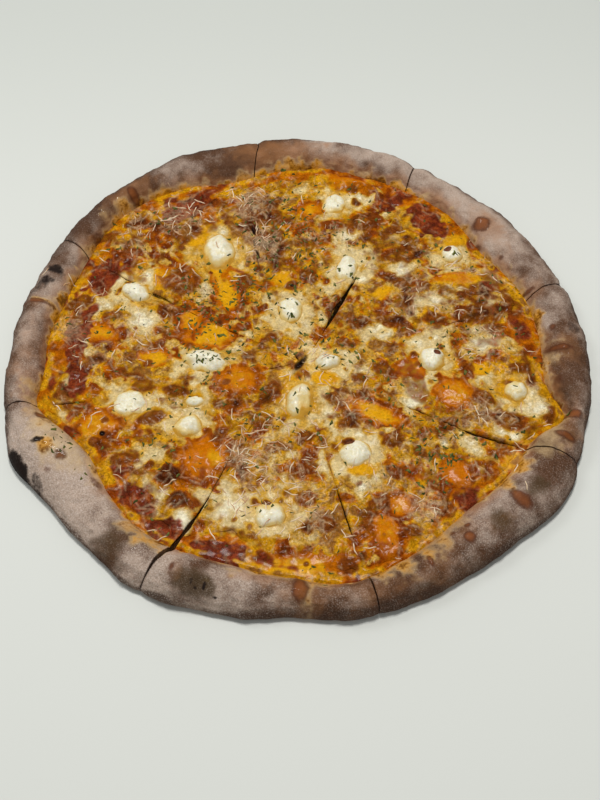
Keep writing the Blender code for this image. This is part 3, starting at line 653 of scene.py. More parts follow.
def grain(size, detail=3.0, roughness=0.55):
    # noise from 0 to 1 with patches about the size, in millimetres
    node = Socket.node("ShaderNodeTexNoise", {"noise_dimensions": "3D"}, Vector=objectPlace(),
                       Scale=1 / (size * mm), Detail=detail, Roughness=roughness)
    return Socket(node.outputs["Fac"])


def blend(share, first, second, mode="MIX"):
    settings = {"data_type": "RGBA", "blend_type": mode, "clamp_factor": True}
    first, second = ((*value, 1.0) if isinstance(value, tuple) else value for value in (first, second))
    return Socket(Socket.node("ShaderNodeMix", settings, i0=share, i6=first, i7=second).outputs[2])


def bump(height, distance, strength=1.0):
    node = Socket.node("ShaderNodeBump", Height=height, Distance=distance * mm, Strength=strength)
    return Socket(node.outputs["Normal"])


def newMaterial(name, constants):
    material = bpy.data.materials.new(name)
    material.use_nodes = True
    Socket.tree = material.node_tree
    shader = material.node_tree.nodes["Principled BSDF"]
    for socket, value in constants.items():
        shader.inputs[socket].default_value = value
    return material, shader


def feed(shader, **sockets):
    for name, value in sockets.items():
        Socket.tree.links.new(value.output, shader.inputs[name.replace("_", " ")])


def srgb(*levels):
    shares = [level / 255 for level in levels]
    return tuple(((share + 0.055) / 1.055) ** 2.4 if share > 0.04 else share / 12.92 for share in shares)


# dark is painted shade, used for pits, slits and cut faces
toppingColours = {
    "white": srgb(244, 235, 202), "cream": srgb(226, 200, 140), "butter": srgb(216, 168, 66),
    "tan": srgb(162, 108, 40), "yellow": srgb(220, 158, 14), "orange": srgb(194, 106, 0),
    "rust": srgb(138, 58, 0), "deep": srgb(80, 32, 4), "toasted": srgb(124, 60, 16),
    "brown": srgb(68, 29, 12), "dark": srgb(26, 15, 11), "sauce": srgb(136, 56, 28),
    "sauceDeep": srgb(98, 36, 20), "sauceLight": srgb(168, 86, 16), "strand": srgb(220, 192, 150),
}


def meltedMaterial():
    material, shader = newMaterial("meltedCheese", {
        "Subsurface Weight": 0.04, "Subsurface Radius": (1.0, 0.5, 0.2), "Subsurface Scale": 0.001,
        "Coat Roughness": 0.16, "Specular IOR Level": 0.0})
    c = toppingColours
    fine, medium, tiny = grain(1.3, 4), grain(4, 3), grain(0.5, 2)
    cream, warm, toast, sauce, char = (mask(name) for name in ("cream", "warm", "toast", "sauce", "char"))
    seamShade, tone, strand = mask("seamShade"), mask("tone"), mask("strand")
    calm = (mask("smoothness") + 0.7 * sauce).clamped()
    # oil from yellow to rust on tan cheese, cream over it, then browning, sauce, strands, painted seam shade
    shift = warm + (medium - 0.5) * 0.3 + (fine - 0.5) * 0.08
    colour = c["tan"]
    for low, name in ((0.12, "yellow"), (0.42, "orange")):
        colour = blend(shift.between(low, low + 0.22), colour, c[name])
    for low, name in ((0.66, "rust"), (0.9, "deep")):
        colour = blend(shift.between(low, low + 0.2), colour, c[name])
    milky = cream + ((medium - 0.5) * 0.4 + (fine - 0.5) * 0.16) * (1 - 0.6 * calm)
    for low, high, name in ((0.26, 0.5, "butter"), (0.5, 0.74, "cream"), (0.8, 1.05, "white")):
        colour = blend(milky.between(low, high), colour, c[name])
    browning = toast + (medium - 0.5) * 0.4 + (fine - 0.5) * 0.16
    colour = blend(browning.between(0.34, 0.74) * 0.9, colour, c["toasted"])
    colour = blend(browning.between(0.72, 1.0), colour, c["brown"])
    red = blend((grain(7, 2) * 0.7 + fine * 0.3).between(0.36, 0.64), c["sauceDeep"], c["sauce"])
    red = blend((medium + warm * 0.3).between(0.7, 1.0) * 0.7, red, c["sauceLight"])
    red = blend((0.52 - medium).between(0.0, 0.14) * 0.55, red, c["brown"])
    colour = blend((sauce + (medium - 0.5) * 0.3 + (fine - 0.5) * 0.15).between(0.32, 0.68), colour, red)
    colour = blend((strand * 0.8 + (tiny - 0.5) * 0.2) * (1 - 0.6 * sauce), colour, c["strand"])
    # painted shade in the seams between clumps
    colour = blend(seamShade * 0.6 * (1 - 0.7 * cream) * (1 - 0.8 * sauce), colour, c["deep"])
    colour = blend((0.5 - tone).clamped() * 0.5 * (1 - 0.6 * calm), colour, c["brown"])
    grainy = 0.945 + (1.85 * (fine - 0.5) + 1.1 * (tiny - 0.5)) * (1 - 0.6 * calm)
    colour = blend(1.0, colour, grainy, "MULTIPLY")
    # painted shade in pits, in slits and on the cut faces, carried by the char mask
    colour = blend(char.between(0.3, 0.75), colour, c["dark"])
    wet = (0.1 * sauce + 0.4 * warm * (1 - cream) * (1 - sauce)).clamped()
    feed(shader, Base_Color=colour, Roughness=(0.6 - 0.2 * wet + 0.2 * toast).clamped(),
         Coat_Weight=(0.12 * wet + 0.04 * calm + 0.07).clamped(),
         Normal=bump((fine * 0.7 + tiny * 0.6) * (1 - 0.45 * calm), 0.6))
    return material


crustColours = {
    "bare": srgb(90, 61, 42), "floury": srgb(180, 159, 143), "rim": srgb(76, 53, 40),
    "olive": srgb(78, 60, 40), "stain": srgb(158, 108, 68), "char": srgb(36, 26, 22),
    "red": srgb(132, 72, 30), "redEdge": srgb(84, 45, 25), "oil": srgb(212, 144, 8),
    "cream": srgb(204, 174, 128), "flour": srgb(204, 189, 176), "soot": srgb(58, 40, 30),
    "under": srgb(160, 122, 84),
}


def crustMaterial():
    material, shader = newMaterial("bakedCrust", {
        "Specular IOR Level": 0.1, "Subsurface Weight": 0.02, "Subsurface Radius": (1.0, 0.6, 0.4),
        "Subsurface Scale": 0.001})
    c = crustColours
    pale, rim, olive, char, red = (mask(name) for name in ("pale", "rim", "olive", "char", "red"))
    halo, creep, stain, under = (mask(name) for name in ("halo", "creep", "stain", "under"))
    flour, speck, mottle = grain(0.75, 2, 0.7), grain(1.7, 3, 0.6), grain(8, 4, 0.6)
    broad, small = mottle - 0.5, speck - 0.5
    # more contrast on the near side
    grainy = 0.6 + 0.55 * (0.0 - awayness()).between(-0.1, 0.1)
    colour = blend((pale + broad * 0.9 + small * 0.3).between(0.0, 1.0), c["bare"], c["floury"])
    colour = blend((olive + broad * 0.6).between(0.25, 0.9), colour, c["olive"])
    # dark outer edge, partly browning and partly painted shade on the outer wall and the cut faces
    colour = blend((rim + broad * 0.8).between(0.2, 1.1) * 0.9, colour, c["rim"])
    sooty = grainy * (1 - 0.45 * pale) * (1 - 0.6 * olive)
    colour = blend(small.between(0.04, 0.2) * 0.45 * sooty, colour, c["soot"])
    colour = blend((0.5 - flour).between(0.0, 0.2) * 0.5 * sooty, colour, c["soot"])
    dusty = (0.15 + 0.5 * pale) * (1 - 0.9 * olive) * grainy
    colour = blend((flour - 0.5).between(0.0, 0.18) * dusty, colour, c["flour"])
    colour = blend((stain + broad * 0.6).between(0.15, 1.0) * 0.8, colour, c["stain"])
    colour = blend((creep + broad * 0.9 + small * 0.3).between(0.2, 1.15) * 0.8, colour, c["cream"])
    colour = blend((halo + broad * 0.9 + small * 0.4).between(0.1, 0.95) * 0.8, colour, c["cream"])
    oily = blend((mottle + 0.5 * speck).between(0.64, 0.95) * 0.85, c["oil"], c["redEdge"])
    colour = blend((halo + broad * 1.2 + small * 0.6).between(0.4, 1.0), colour, oily)
    browned = blend((red + broad * 0.5).between(0.55, 0.95), c["redEdge"], c["red"])
    colour = blend((red + small * 0.5 + broad * 0.4).between(0.2, 0.7) * 0.9, colour, browned)
    # char, and painted shade on the cut faces
    colour = blend((char + small * 0.6).between(0.3, 0.9), colour, c["char"])
    colour = blend((under + broad * 0.5).between(0.3, 0.8), colour, c["under"])
    feed(shader, Base_Color=colour, Roughness=(0.82 - 0.35 * halo - 0.3 * red - 0.12 * char).clamped(),
         Coat_Weight=(0.12 * halo + 0.04 * red).clamped(), Normal=bump(flour * 0.6 + speck * 0.8, 0.45))
    return material


def whiteMaterial():
    material, shader = newMaterial("softWhiteCheese", {
        "Subsurface Weight": 0.2, "Subsurface Radius": (1.0, 0.8, 0.5), "Subsurface Scale": 0.002,
        "Coat Roughness": 0.2, "Specular IOR Level": 0.3})
    halo, toast, fine, medium = mask("halo"), mask("toast"), grain(1.2, 3), grain(3.5, 3)
    colour = blend((fine * 0.5 + medium * 0.5).between(0.4, 0.65), srgb(236, 231, 208), srgb(222, 212, 176))
    edge = halo + (medium - 0.5) * 0.7
    colour = blend(edge.between(0.2, 0.75), colour, srgb(222, 196, 128))
    colour = blend(edge.between(0.75, 1.2), colour, srgb(208, 156, 50))
    browned = blend(fine.between(0.4, 0.7), srgb(112, 56, 22), srgb(74, 40, 22))
    colour = blend((toast + (fine - 0.5) * 0.5).between(0.35, 0.7), colour, browned)
    feed(shader, Base_Color=colour, Roughness=(0.45 + 0.2 * toast + 0.2 * (fine - 0.5)).clamped(),
         Coat_Weight=(0.12 + 0.3 * halo).clamped(), Normal=bump(fine, 0.3, 0.6))
    return material


def plainMaterial(name, first, second, size, roughness, sheen=0.5, through=0.0):
    material, shader = newMaterial(name, {"Specular IOR Level": sheen, "Subsurface Weight": through,
                                          "Subsurface Scale": 0.001})
    tone = grain(size, 2)
    feed(shader, Base_Color=blend(tone.between(0.35, 0.65), first, second),
         Roughness=(roughness + 0.2 * (tone - 0.5)).clamped())
    return material


# Crust and dough

crust = {
    "columns": 132, "topRows": 64, "slabRows": 6,
    "section": [(0.0, 0.0), (0.07, 0.36), (0.17, 0.68), (0.30, 0.90), (0.45, 1.0), (0.61, 0.98), (0.76, 0.84),
                (0.89, 0.56), (0.97, 0.22)],
    "underside": [(1.0, 1.05), (0.985, 0.45), (0.93, 0.0)],
    # how far the crust draws back beside a cut, and how the foot of each cut closes
    "notchDepth": 1.0, "notchReach": 3.0, "footClosed": 9.0, "footGap": 0.3,
    "blisters": [
        (-147, -66, 9, 2.0), (-55, -137, 8, 2.0), (99, -98, 8, 1.6), (-140, 52, 7, 1.4),
        (143, -52, 7, 1.4), (-2, -145, 7, 1.2), (106, 90, 6, 1.2), (-96, 113, 7, 1.2),
        (-128, -74, 7, -1.0), (70, -132, 8, 1.2), (148, 22, 7, 1.2), (-152, 8, 7, -0.9),
        (-30, 147, 8, 1.2), (36, 143, 7, -0.8), (-104, -100, 8, 1.2)],
    # how floury the crust is by angle, from bare brown at 0 to pale at 1
    "floury": [
        (-180, 0.60), (-172, 0.5), (-166, 0.46), (-162, 0.76), (-158, 1.0), (-142, 1.15), (-134, 1.12),
        (-127, 0.5), (-120, 0.95), (-114, 0.75), (-108, 0.25), (-103, 0.62), (-98, 0.56), (-92, 0.22),
        (-86, 0.24), (-80, 0.34), (-74, 0.14), (-68, 0.15), (-60, 0.30), (-52, 0.46), (-46, 0.32),
        (-40, 0.38), (-34, 0.42), (-28, 0.42), (-22, 0.3), (-16, 0.1), (-10, 0.1), (-6, 0.25), (0, 0.3),
        (5, 0.4), (10, 0.6), (15, 0.65), (20, 0.65), (30, 0.76), (40, 0.78), (50, 0.8), (58, 0.74),
        (64, 0.74), (75, 0.76), (84, 0.64), (88, 0.25), (95, 0.08), (103, 0.05), (110, 0.08), (116, 0.2),
        (120, 0.56), (127, 0.5), (131, 0.2), (140, 0.15), (150, 0.15), (153, 0.55), (160, 0.52),
        (170, 0.58), (180, 0.60)],
    # width of the dark outer edge by angle, in millimetres, partly browning and partly painted shade
    "edgeWidth": [
        (-180, 4), (-163, 3), (-150, 1.5), (-135, 1.5), (-118, 1), (-105, 1.5), (-90, 2.5), (-60, 3),
        (-30, 1.5), (-10, 3), (5, 3), (15, 3.5), (30, 5), (50, 6), (60, 5), (70, 4), (84, 5), (90, 8),
        (100, 12), (110, 13), (120, 10), (130, 13), (140, 16), (152, 15), (158, 9), (170, 8), (180, 6)],
    # round the edge: angle, radius, half size along the rim, half size across it, strength
    "char": [
        (-151.5, 164, 13, 6, 1.0), (-148, 158, 7, 3, 0.7), (163, 149, 4, 4, 0.85), (160, 146, 3, 5, 0.9),
        (176, 147, 3, 5, 0.5), (165, 152, 5, 3, 0.6), (110.5, 160, 1.6, 3, 1.0),
        (-105, 153, 1.6, 0.8, 1.0), (-107.5, 150, 0.8, 2.2, 1.0), (-109, 152, 1.0, 0.8, 1.0),
        (-110, 150, 0.8, 1.6, 0.9), (4, 153, 4, 4, 0.6), (-68, 160, 3, 2, 0.6),
        (-110.5, 158, 2, 0.7, 0.8), (-155, 148.5, 1.6, 3.4, 0.9), (110, 148, 2, 1.5, 0.5)],
    "olive": [
        (-109, 150, 10, 7, 1.0), (-128, 151, 9, 8, 0.9), (-125, 157, 10, 3, 0.6), (-36, 150, 6, 6, 0.9),
        (-46.5, 147, 6, 6, 1.0), (-67, 157, 12, 5, 0.6), (-80, 158, 8, 4, 0.5), (-92, 157, 8, 4, 0.5),
        (-56, 158, 8, 5, 0.5), (-13, 146, 8, 8, 0.6), (-128, 143, 6, 3, 0.6)],
    "red": [
        (38.5, 137, 4.4, 4.8, 1.0), (34.5, 127, 2.6, 2.6, 0.9), (28, 133, 1.6, 1.6, 0.7),
        (16.5, 136, 1.6, 4, 0.8), (-1, 143, 2.4, 7, 0.9), (4.5, 141, 2.2, 2, 0.8),
        (-17.5, 152, 4, 5, 1.0), (-23, 151, 2, 6, 1.0), (-40.5, 148, 4, 7, 0.9),
        (-54, 145, 3.4, 3.4, 1.0), (-52.5, 139, 2, 1.4, 0.8), (-56, 138, 2, 1.6, 0.7),
        (-63.5, 146, 1.6, 4, 0.9), (-89.5, 144, 4, 6.5, 1.0), (-114.5, 147, 1.6, 3, 0.8),
        (-150, 141, 3.6, 3.4, 0.8), (-148.5, 150, 2.4, 2, 0.6), (-161.5, 142, 3, 4, 0.9),
        (-141, 133, 5, 2, 0.6), (132, 146, 3, 5, 0.9), (169, 149, 1.8, 9, 0.9), (146, 139, 6, 4, 0.7),
        (-175, 139, 2, 4, 0.6), (-9, 142, 3, 3, 0.5)],
    "creep": [
        (-22, 143, 12, 8, 1.0), (-28, 145, 3, 6, 0.8), (-155, 137, 12, 7, 0.9), (-162, 139, 8, 5, 0.8),
        (-147, 134, 8, 5, 0.7), (-158, 143, 16, 9, 0.9), (-150, 139, 12, 8, 0.8), (137, 142, 12, 5, 0.6),
        (168, 142, 5, 4, 0.7), (150, 136, 6, 3, 0.6), (-3, 139, 5, 4, 0.8), (-168, 139, 8, 5, 0.7),
        (36, 127, 5, 4, 0.6), (-70, 143, 3, 2, 0.5)],
    "oil": [
        (168.5, 145, 1.6, 8, 0.9), (150, 138, 4, 4, 0.8), (105, 131, 3, 4, 0.8), (92, 133, 8, 5, 0.9),
        (75, 131, 8, 5, 0.8), (6, 134, 7, 4, 0.9), (1, 141, 1.5, 6, 0.5), (-3, 139, 2, 6, 0.6),
        (-8, 136, 4, 3, 0.7), (-23, 149, 2, 5, 0.5), (-18.5, 150, 2.2, 6, 0.4), (-33, 136, 5, 5, 0.9),
        (-39, 138, 4, 4, 0.9), (-58, 139, 3, 5, 0.8), (-63, 141, 2, 7, 0.9), (-68, 141, 6, 5, 0.9),
        (-73, 142, 5, 4, 0.8), (-88.5, 146, 3, 6, 0.8), (-85, 139, 5, 4, 0.8), (-121, 139, 6, 4, 0.9),
        (-124, 143, 3, 4, 0.8), (-128, 139, 4, 4, 0.7), (-143, 130, 5, 3, 0.7),
        (-153.5, 145, 4.5, 5, 1.0), (-150, 141, 2.5, 2.5, 0.8), (-160, 139, 4, 5, 0.7),
        (-165, 143, 4, 5, 0.7), (-170, 145, 4, 4, 0.7), (45, 130, 14, 2.5, 0.8), (20, 130, 8, 3, 0.8),
        (176, 136, 10, 2.5, 0.9), (160, 135, 8, 2.5, 0.9)],
    "stain": [
        (38, 138, 12, 9, 0.9), (16, 137, 8, 7, 0.7), (-1, 145, 10, 9, 0.7), (-20, 150, 14, 8, 0.8),
        (92, 141, 20, 9, 1.0), (101, 147, 14, 10, 0.7), (133, 147, 14, 6, 0.9), (-168, 143, 14, 7, 1.0),
        (-54, 142, 12, 6, 0.6), (-89, 146, 12, 8, 0.7), (-98, 138, 14, 4, 0.8), (-149, 146, 12, 8, 0.4),
        (-114, 145, 4, 6, 0.6), (-63, 146, 6, 6, 0.6), (-162, 144, 6, 6, 0.6), (150, 143, 8, 6, 0.5),
        (28, 135, 14, 5, 0.5), (169, 147, 5, 8, 0.6), (-176, 147, 14, 8, 0.6), (176, 148, 12, 7, 0.5),
        (-76, 149, 16, 8, 0.6), (-61, 151, 12, 7, 0.5), (-45, 147, 12, 7, 0.4)],
}


def paintCrust(canvas):
    x, y = canvas.x, canvas.y
    radius, angle = np.hypot(x, y), angleOf(x, y)
    wander = layeredNoise(x, y, 16, 71)
    around, floury = zip(*crust["floury"])
    pale = np.interp(angle + 2.5 * wander, around, floury) - 0.06
    canvas.add("pale", pale + 0.34 * layeredNoise(x, y, 11, 72))
    # a dark outer edge, partly browning and partly painted shade
    around, width = zip(*crust["edgeWidth"])
    depth = outlineAt(angle) - radius + 1.5 * wander
    canvas.add("rim", np.exp(-(np.clip(depth, 0, None) / np.interp(angle, around, width)) ** 2))
    # the second number says how sharp the edges of a kind are, the third how ragged
    for name, hard, ragged in (("char", 2.0, 0.8), ("olive", 0.5, 0.8), ("red", 0.75, 0.4),
                               ("creep", 0.35, 0.8), ("stain", 0.35, 0.8)):
        layer = "crustChar" if name == "char" else name
        canvas.add(layer)
        for spot in crust[name]:
            polarBlob(canvas, layer, spot, ragged=ragged, hard=hard)
    # toppings creep and stain unevenly past the inner edge
    past = radius - innerAt(angle)
    soaked = smooth(1.3 + 2.4 * layeredNoise(x, y, 7, 74) - past + 1.2 * canvas.ragged, -1.6, 1.6) * 0.9
    canvas.layers["halo"] = np.maximum(canvas.layers["halo"], soaked)
    for spot in topping["oilyRim"] + crust["oil"]:
        polarBlob(canvas, "halo", spot, ragged=1.0, hard=0.5)
    reach = 2.5 + 3.5 * smooth(layeredNoise(x, y, 11, 73), -0.5, 0.9)
    stained = np.exp(-(np.clip(past, 0, None) / (1.3 * reach + 1)) ** 2)
    canvas.layers["stain"] = np.maximum(canvas.layers["stain"], 0.85 * stained)
    crept = 0.8 * smooth(reach - past + canvas.ragged, 0.5, 2.5) * smooth(wander, -0.2, 0.7)
    canvas.layers["creep"] = np.maximum(canvas.layers["creep"], crept)
    for name in ("crustChar", "olive", "red", "creep", "stain", "pale"):
        canvas.soften(name, 0.35)


def crustSection(samples):
    points = crust["section"]
    across = [point[0] for point in points]
    rise = [point[1] for point in points]
    # steps that are even along the curve, then a smooth curve through the points
    length = np.concatenate([[0], np.cumsum(np.hypot(np.diff(across), 0.55 * np.diff(rise)))])
    fine = np.linspace(0, length[-1], 400)
    across, rise = np.interp(fine, length, across), np.interp(fine, length, rise)
    weights = np.hanning(43)
    weights /= weights.sum()
    pad = len(weights) // 2
    curves = []
    for line in (across, rise):
        longer = np.concatenate([2 * line[0] - line[pad:0:-1], line, 2 * line[-1] - line[-2:-pad - 2:-1]])
        curves.append(np.convolve(longer, weights, "valid"))
    even = np.linspace(0, len(fine) - 1, samples)
    return [np.interp(even, np.arange(len(fine)), curve) for curve in curves]


def buildDough(wedge, canvas, material):
    columns, topRows = crust["columns"] // draftCoarseness, crust["topRows"] // draftCoarseness
    share = np.linspace(0, 1, columns)
    inner, outer = wedgeRim(wedge, share, innerAt), wedgeRim(wedge, share, outlineAt)
    notch = np.exp(-(cutDistance(wedge, share, outer) / crust["notchReach"]) ** 2)
    outer = outer - crust["notchDepth"] * notch
    across, rise = crustSection(topRows)
    reach = inner[:, None] + across[None, :] * (outer - inner)[:, None]
    shares = np.repeat(share[:, None], topRows, 1)
    x, y = wedgePlace(wedge, shares, reach)
    angle = angleOf(x, y)
    lift = rise[None, :] * (form["crest"] + swellAt(angle, form["crestSwells"]) - form["doughTop"])
    height = form["doughTop"] + lift
    near = cutDistance(wedge, shares, reach)
    height -= 0.8 * rise * np.exp(-(near / 1.8) ** 2)
    for bx, by, radius, size in crust["blisters"]:
        height += size * rise * np.exp(-((x - bx) ** 2 + (y - by) ** 2) / radius ** 2)
    height += 0.55 * canvas.at("red", x, y) + 0.4 * canvas.at("creep", x, y)
    # uneven baked skin, pushed out along the section's own normal
    skin = 0.9 * layeredNoise(x + 0.6 * height, y - 0.5 * height, 13, 81)
    skin = skin + 0.35 * noiseAt(x, y + height, 3.6, 82) + 0.12 * noiseAt(x + height, y, 1.3, 83)
    slope = np.gradient(height, axis=1) / np.maximum(np.gradient(reach, axis=1), 0.05)
    normal = np.stack([-slope, np.ones_like(slope)]) / np.hypot(slope, 1)
    skin *= smooth(across, 0.0, 0.12)[None, :]
    outward = skin * normal[0]
    height = height + skin * normal[1]
    px, py = wedgePlace(wedge, shares, reach + outward)
    top = np.stack([px, py, height], -1)
    # the flat slab under the toppings, the outer wall and the underside
    part = np.linspace(0, 1, crust["slabRows"], endpoint=False)
    slabReach = form["tipReach"] + (inner[:, None] - form["tipReach"]) * part[None, :]
    slabShares = np.repeat(share[:, None], crust["slabRows"], 1)
    foot = (crust["footClosed"], crust["footGap"])
    sx, sy = wedgePlace(wedge, slabShares, slabReach)
    slab = np.stack([sx, sy, np.full_like(sx, form["doughTop"])], -1)
    wall = []
    for out, level in crust["underside"]:
        wallReach = inner + out * (outer - inner) + 0.5 * skin[:, -1] * (level > 0)
        wx, wy = wedgePlace(wedge, share, wallReach, *foot)
        wall.append(np.stack([wx, wy, np.full_like(wx, level * form["doughTop"])], -1))
    wall = np.stack(wall, 1)
    ux, uy = wedgePlace(wedge, slabShares, slabReach, *foot)
    under = np.stack([ux, uy, np.zeros_like(ux)], -1)[:, ::-1]
    edge = np.stack([*wedgePlace(wedge, share, inner, *foot), np.zeros_like(share)], -1)[:, None]
    section = np.concatenate([slab, top, wall, edge, under], 1)
    rows = section.shape[1]
    places = section.reshape(-1, 3)
    places[:, 2] = np.maximum(places[:, 2], 0.0)
    faces = gridFaces(columns, rows)
    first = np.arange(columns - 1) * rows
    closing = np.stack([first + rows - 1, first, first + rows, first + 2 * rows - 1], -1)
    caps = [np.arange(rows)[::-1], (columns - 1) * rows + np.arange(rows)]
    allFaces = [face[::-1] for face in [*faces, *closing]] + [cap[::-1] for cap in caps]
    fx, fy = places[:, 0], places[:, 1]
    masks = {name: canvas.at("crustChar" if name == "char" else name, fx, fy)
             for name in ("pale", "rim", "olive", "char", "red", "halo", "creep", "stain")}
    level = places[:, 2]
    past = np.hypot(fx, fy) - innerAt(angleOf(fx, fy))
    # painted shade: the outer wall grows darker towards its foot
    lowWallShade = smooth(-level, -9, -3) * smooth(past, 6, 9)
    masks["rim"] = np.clip(masks["rim"] + 0.35 * lowWallShade, 0, 1)
    masks["under"] = (level < 0.5).astype(float)
    # painted shade on the cut faces at both ends of the slice, through the rim and char masks
    cutFaceShade = np.zeros((columns, rows))
    cutFaceShade[[0, -1]] = 1.0
    masks["rim"] = np.maximum(masks["rim"], cutFaceShade.ravel())
    within = 1 - smooth(past, -2, 4)
    masks["char"] = np.maximum(masks["char"], (0.35 + 0.4 * within) * cutFaceShade.ravel())
    return newPiece(f"doughSlice{wedge + 1}", places, allFaces, masks, material)


# Sauce and melted cheese

sauce = {"columns": 120, "rows": 40, "hiddenRows": 6, "shownFrom": 8, "overlap": 1.2}
melted = {"columns": 190, "rows": 250, "rounding": 0.35, "closed": 0.95, "tip": 0.5}


def sauceHeight(canvas, x, y):
    edge = cheeseEdgeAt(angleOf(x, y))
    rise = smooth(np.hypot(x, y), edge - 5, edge + 2)
    return form["sauceTop"] + 0.9 * rise + 0.35 * layeredNoise(x, y, 9, 91) + 0.3 * canvas.at("relief", x, y)


def buildSauce(wedge, canvas, material):
    columns, rows = sauce["columns"] // draftCoarseness, sauce["rows"] // draftCoarseness
    share = np.linspace(0, 1, columns)
    rim = wedgeRim(wedge, share, innerAt) + sauce["overlap"]
    cheese = wedgeRim(wedge, share, cheeseEdgeAt)
    start = np.full_like(rim, form["tipReach"])
    # a few rows under the cheese, the rest where the sauce shows
    shown = cheese - sauce["shownFrom"]
    part = np.linspace(0, 1, sauce["hiddenRows"], endpoint=False)
    inside = start[:, None] + (shown - start)[:, None] * part[None, :]
    outside = shown[:, None] + (rim - shown)[:, None] * np.linspace(0, 1, rows)[None, :]
    reach = np.concatenate([inside, outside], 1)
    shares = np.repeat(share[:, None], reach.shape[1], 1)
    x, y = wedgePlace(wedge, shares, reach, melted["closed"])
    ragged = 0.8 * noiseAt(x, y, 4, 95)
    height = sauceHeight(canvas, x, y) - 0.8 * (1 - smooth(rim[:, None] - reach + ragged, 0, 2.0))
    places = np.stack([x, y, height], -1).reshape(-1, 3)
    masks = toppingMasks(canvas, places)
    name = f"sauceSlice{wedge + 1}"
    return layerPiece(name, places, columns, reach.shape[1], form["sauceBottom"], masks, material)


def toppingMasks(canvas, places):
    x, y = places[:, 0], places[:, 1]
    return {name: canvas.at(name, x, y) for name in toppingLayers}


def buildMelted(wedge, canvas, material):
    columns, rows = melted["columns"] // draftCoarseness, melted["rows"] // draftCoarseness
    share = np.linspace(0, 1, columns)
    rim = wedgeRim(wedge, share, cheeseEdgeAt)
    rx, ry = wedgePlace(wedge, share, rim)
    rim = rim + 1.6 * noiseAt(rx, ry, 6, 97) + 0.8 * noiseAt(rx, ry, 2.3, 98)
    part = np.linspace(0, 1, rows) ** 0.9
    reach = melted["tip"] + (rim[:, None] - melted["tip"]) * part[None, :]
    shares = np.repeat(share[:, None], rows, 1)
    x, y = wedgePlace(wedge, shares, reach, melted["closed"])
    # the cut faces stay open where the photo shows a gap and nearly close elsewhere
    side = cutDistance(wedge, shares, reach)
    before, after = (cutOpening(number, reach, melted["closed"], 0.04) for number in (wedge, wedge + 1))
    openness = np.where(shares < 0.5, before, after)
    rounding = melted["rounding"] + 1.2 * np.clip(openness, 0, 1.6)
    sideRound = np.clip((side + 0.35 * noiseAt(x, y, 2.5, 101)) / rounding, 0, 1)
    depth = smooth(openness, 0.05, 0.5)
    rimRound = np.clip((rim[:, None] - reach) / (6.5 + 2.0 * noiseAt(x, y, 9, 103)), 0, 1)
    height = form["cheeseTop"] - 0.7 + canvas.at("lift", x, y) + canvas.at("relief", x, y)
    height += 0.7 * layeredNoise(x, y, 18, 99)
    low = form["cheeseBottom"] + 0.2
    height = np.maximum(height, low + 0.4)
    sideFall = 1 - depth * (1 - np.sqrt(1 - (1 - sideRound) ** 2))
    height = low + (height - low) * sideFall * np.sqrt(1 - (1 - rimRound) ** 2)
    places = np.stack([x, y, height], -1).reshape(-1, 3)
    masks = toppingMasks(canvas, places)
    return layerPiece(f"cheeseSlice{wedge + 1}", places, columns, rows, form["cheeseBottom"], masks, material)


# Lumps of soft white cheese

def buildDollop(number, canvas, material):
    x0, y0, length, width, turn, height = dollop["lumps"][number]
    rings, sides = dollop["rings"] // draftCoarseness, dollop["sides"] // draftCoarseness
    part = np.linspace(0, 1, rings + 1)[1:]
    around = np.linspace(0, 2 * math.pi, sides, endpoint=False)
    share, angle = np.meshgrid(part, around, indexing="ij")
    nx, ny = 3 * np.cos(angle) + 9 * number, 3 * np.sin(angle)
    wobble = 1 + 0.13 * noiseAt(nx, ny, 2.2, 110) + 0.06 * noiseAt(nx, ny, 0.9, 111)
    u, v = 1.13 * np.cos(angle) * share * wobble, 1.13 * np.sin(angle) * share * wobble
    c, s = math.cos(math.radians(turn)), math.sin(math.radians(turn))
    along, side = 0.5 * length * u, 0.5 * width * v
    x, y = x0 + along * c - side * s, y0 + along * s + side * c
    # a mound of a few soft curds, thin and spread out at its foot
    draw = random.Random(40 + number)
    soft = dollop["softness"]
    total = np.exp(soft * 0.8 * (1 - share ** 2.7))
    for _ in range(dollop["subLumps"]):
        heading, out = draw.uniform(0, 2 * math.pi), draw.uniform(0.1, 0.5)
        size, rise = draw.uniform(0.4, 0.65), draw.uniform(0.7, 0.95)
        away = ((u - out * math.cos(heading)) ** 2 + (v - out * math.sin(heading)) ** 2) / size ** 2
        total += np.exp(soft * rise * (1 - 0.5 * away))
    mound = np.clip(np.log(total) / soft, 0, 1.05) * (1 - share ** 6)
    z = dollop["seat"] - 0.9 + (0.94 * height + 0.9) * mound
    z += (0.6 * noiseAt(x, y, 4.2, 112) + 0.25 * noiseAt(x, y, 1.7, 113)) * np.clip(3 * mound, 0, 1)
    top = np.array([[x0, y0, float(z[0].mean())]])
    places = np.concatenate([top, np.stack([x, y, z], -1).reshape(-1, 3)])
    ring = np.arange(sides)
    after = np.roll(ring, -1)
    faces = [np.array([0, 1 + i, 1 + j]) for i, j in zip(ring, after)]
    for row in range(rings - 1):
        first = 1 + row * sides
        second = first + sides
        faces += [np.array([first + i, second + i, second + j, first + j]) for i, j in zip(ring, after)]
    last = 1 + (rings - 1) * sides
    faces.append(last + ring[::-1])
    level = (places[:, 2] - dollop["seat"]) / height
    yellow = dollop["yellow"][number]
    px, py = places[:, 0], places[:, 1]
    halo = np.clip(1.25 - 2.0 * level + 0.5 * noiseAt(px, py, 5, 114), 0, 1.2) + 0.5 * yellow
    masks = {"halo": halo, "toast": canvas.at("mark", px, py)}
    return newPiece(f"whiteLump{number + 1:02d}", places, faces, masks, material)


# Grated cheese and herb flakes, scattered over everything that the camera sees of the topping

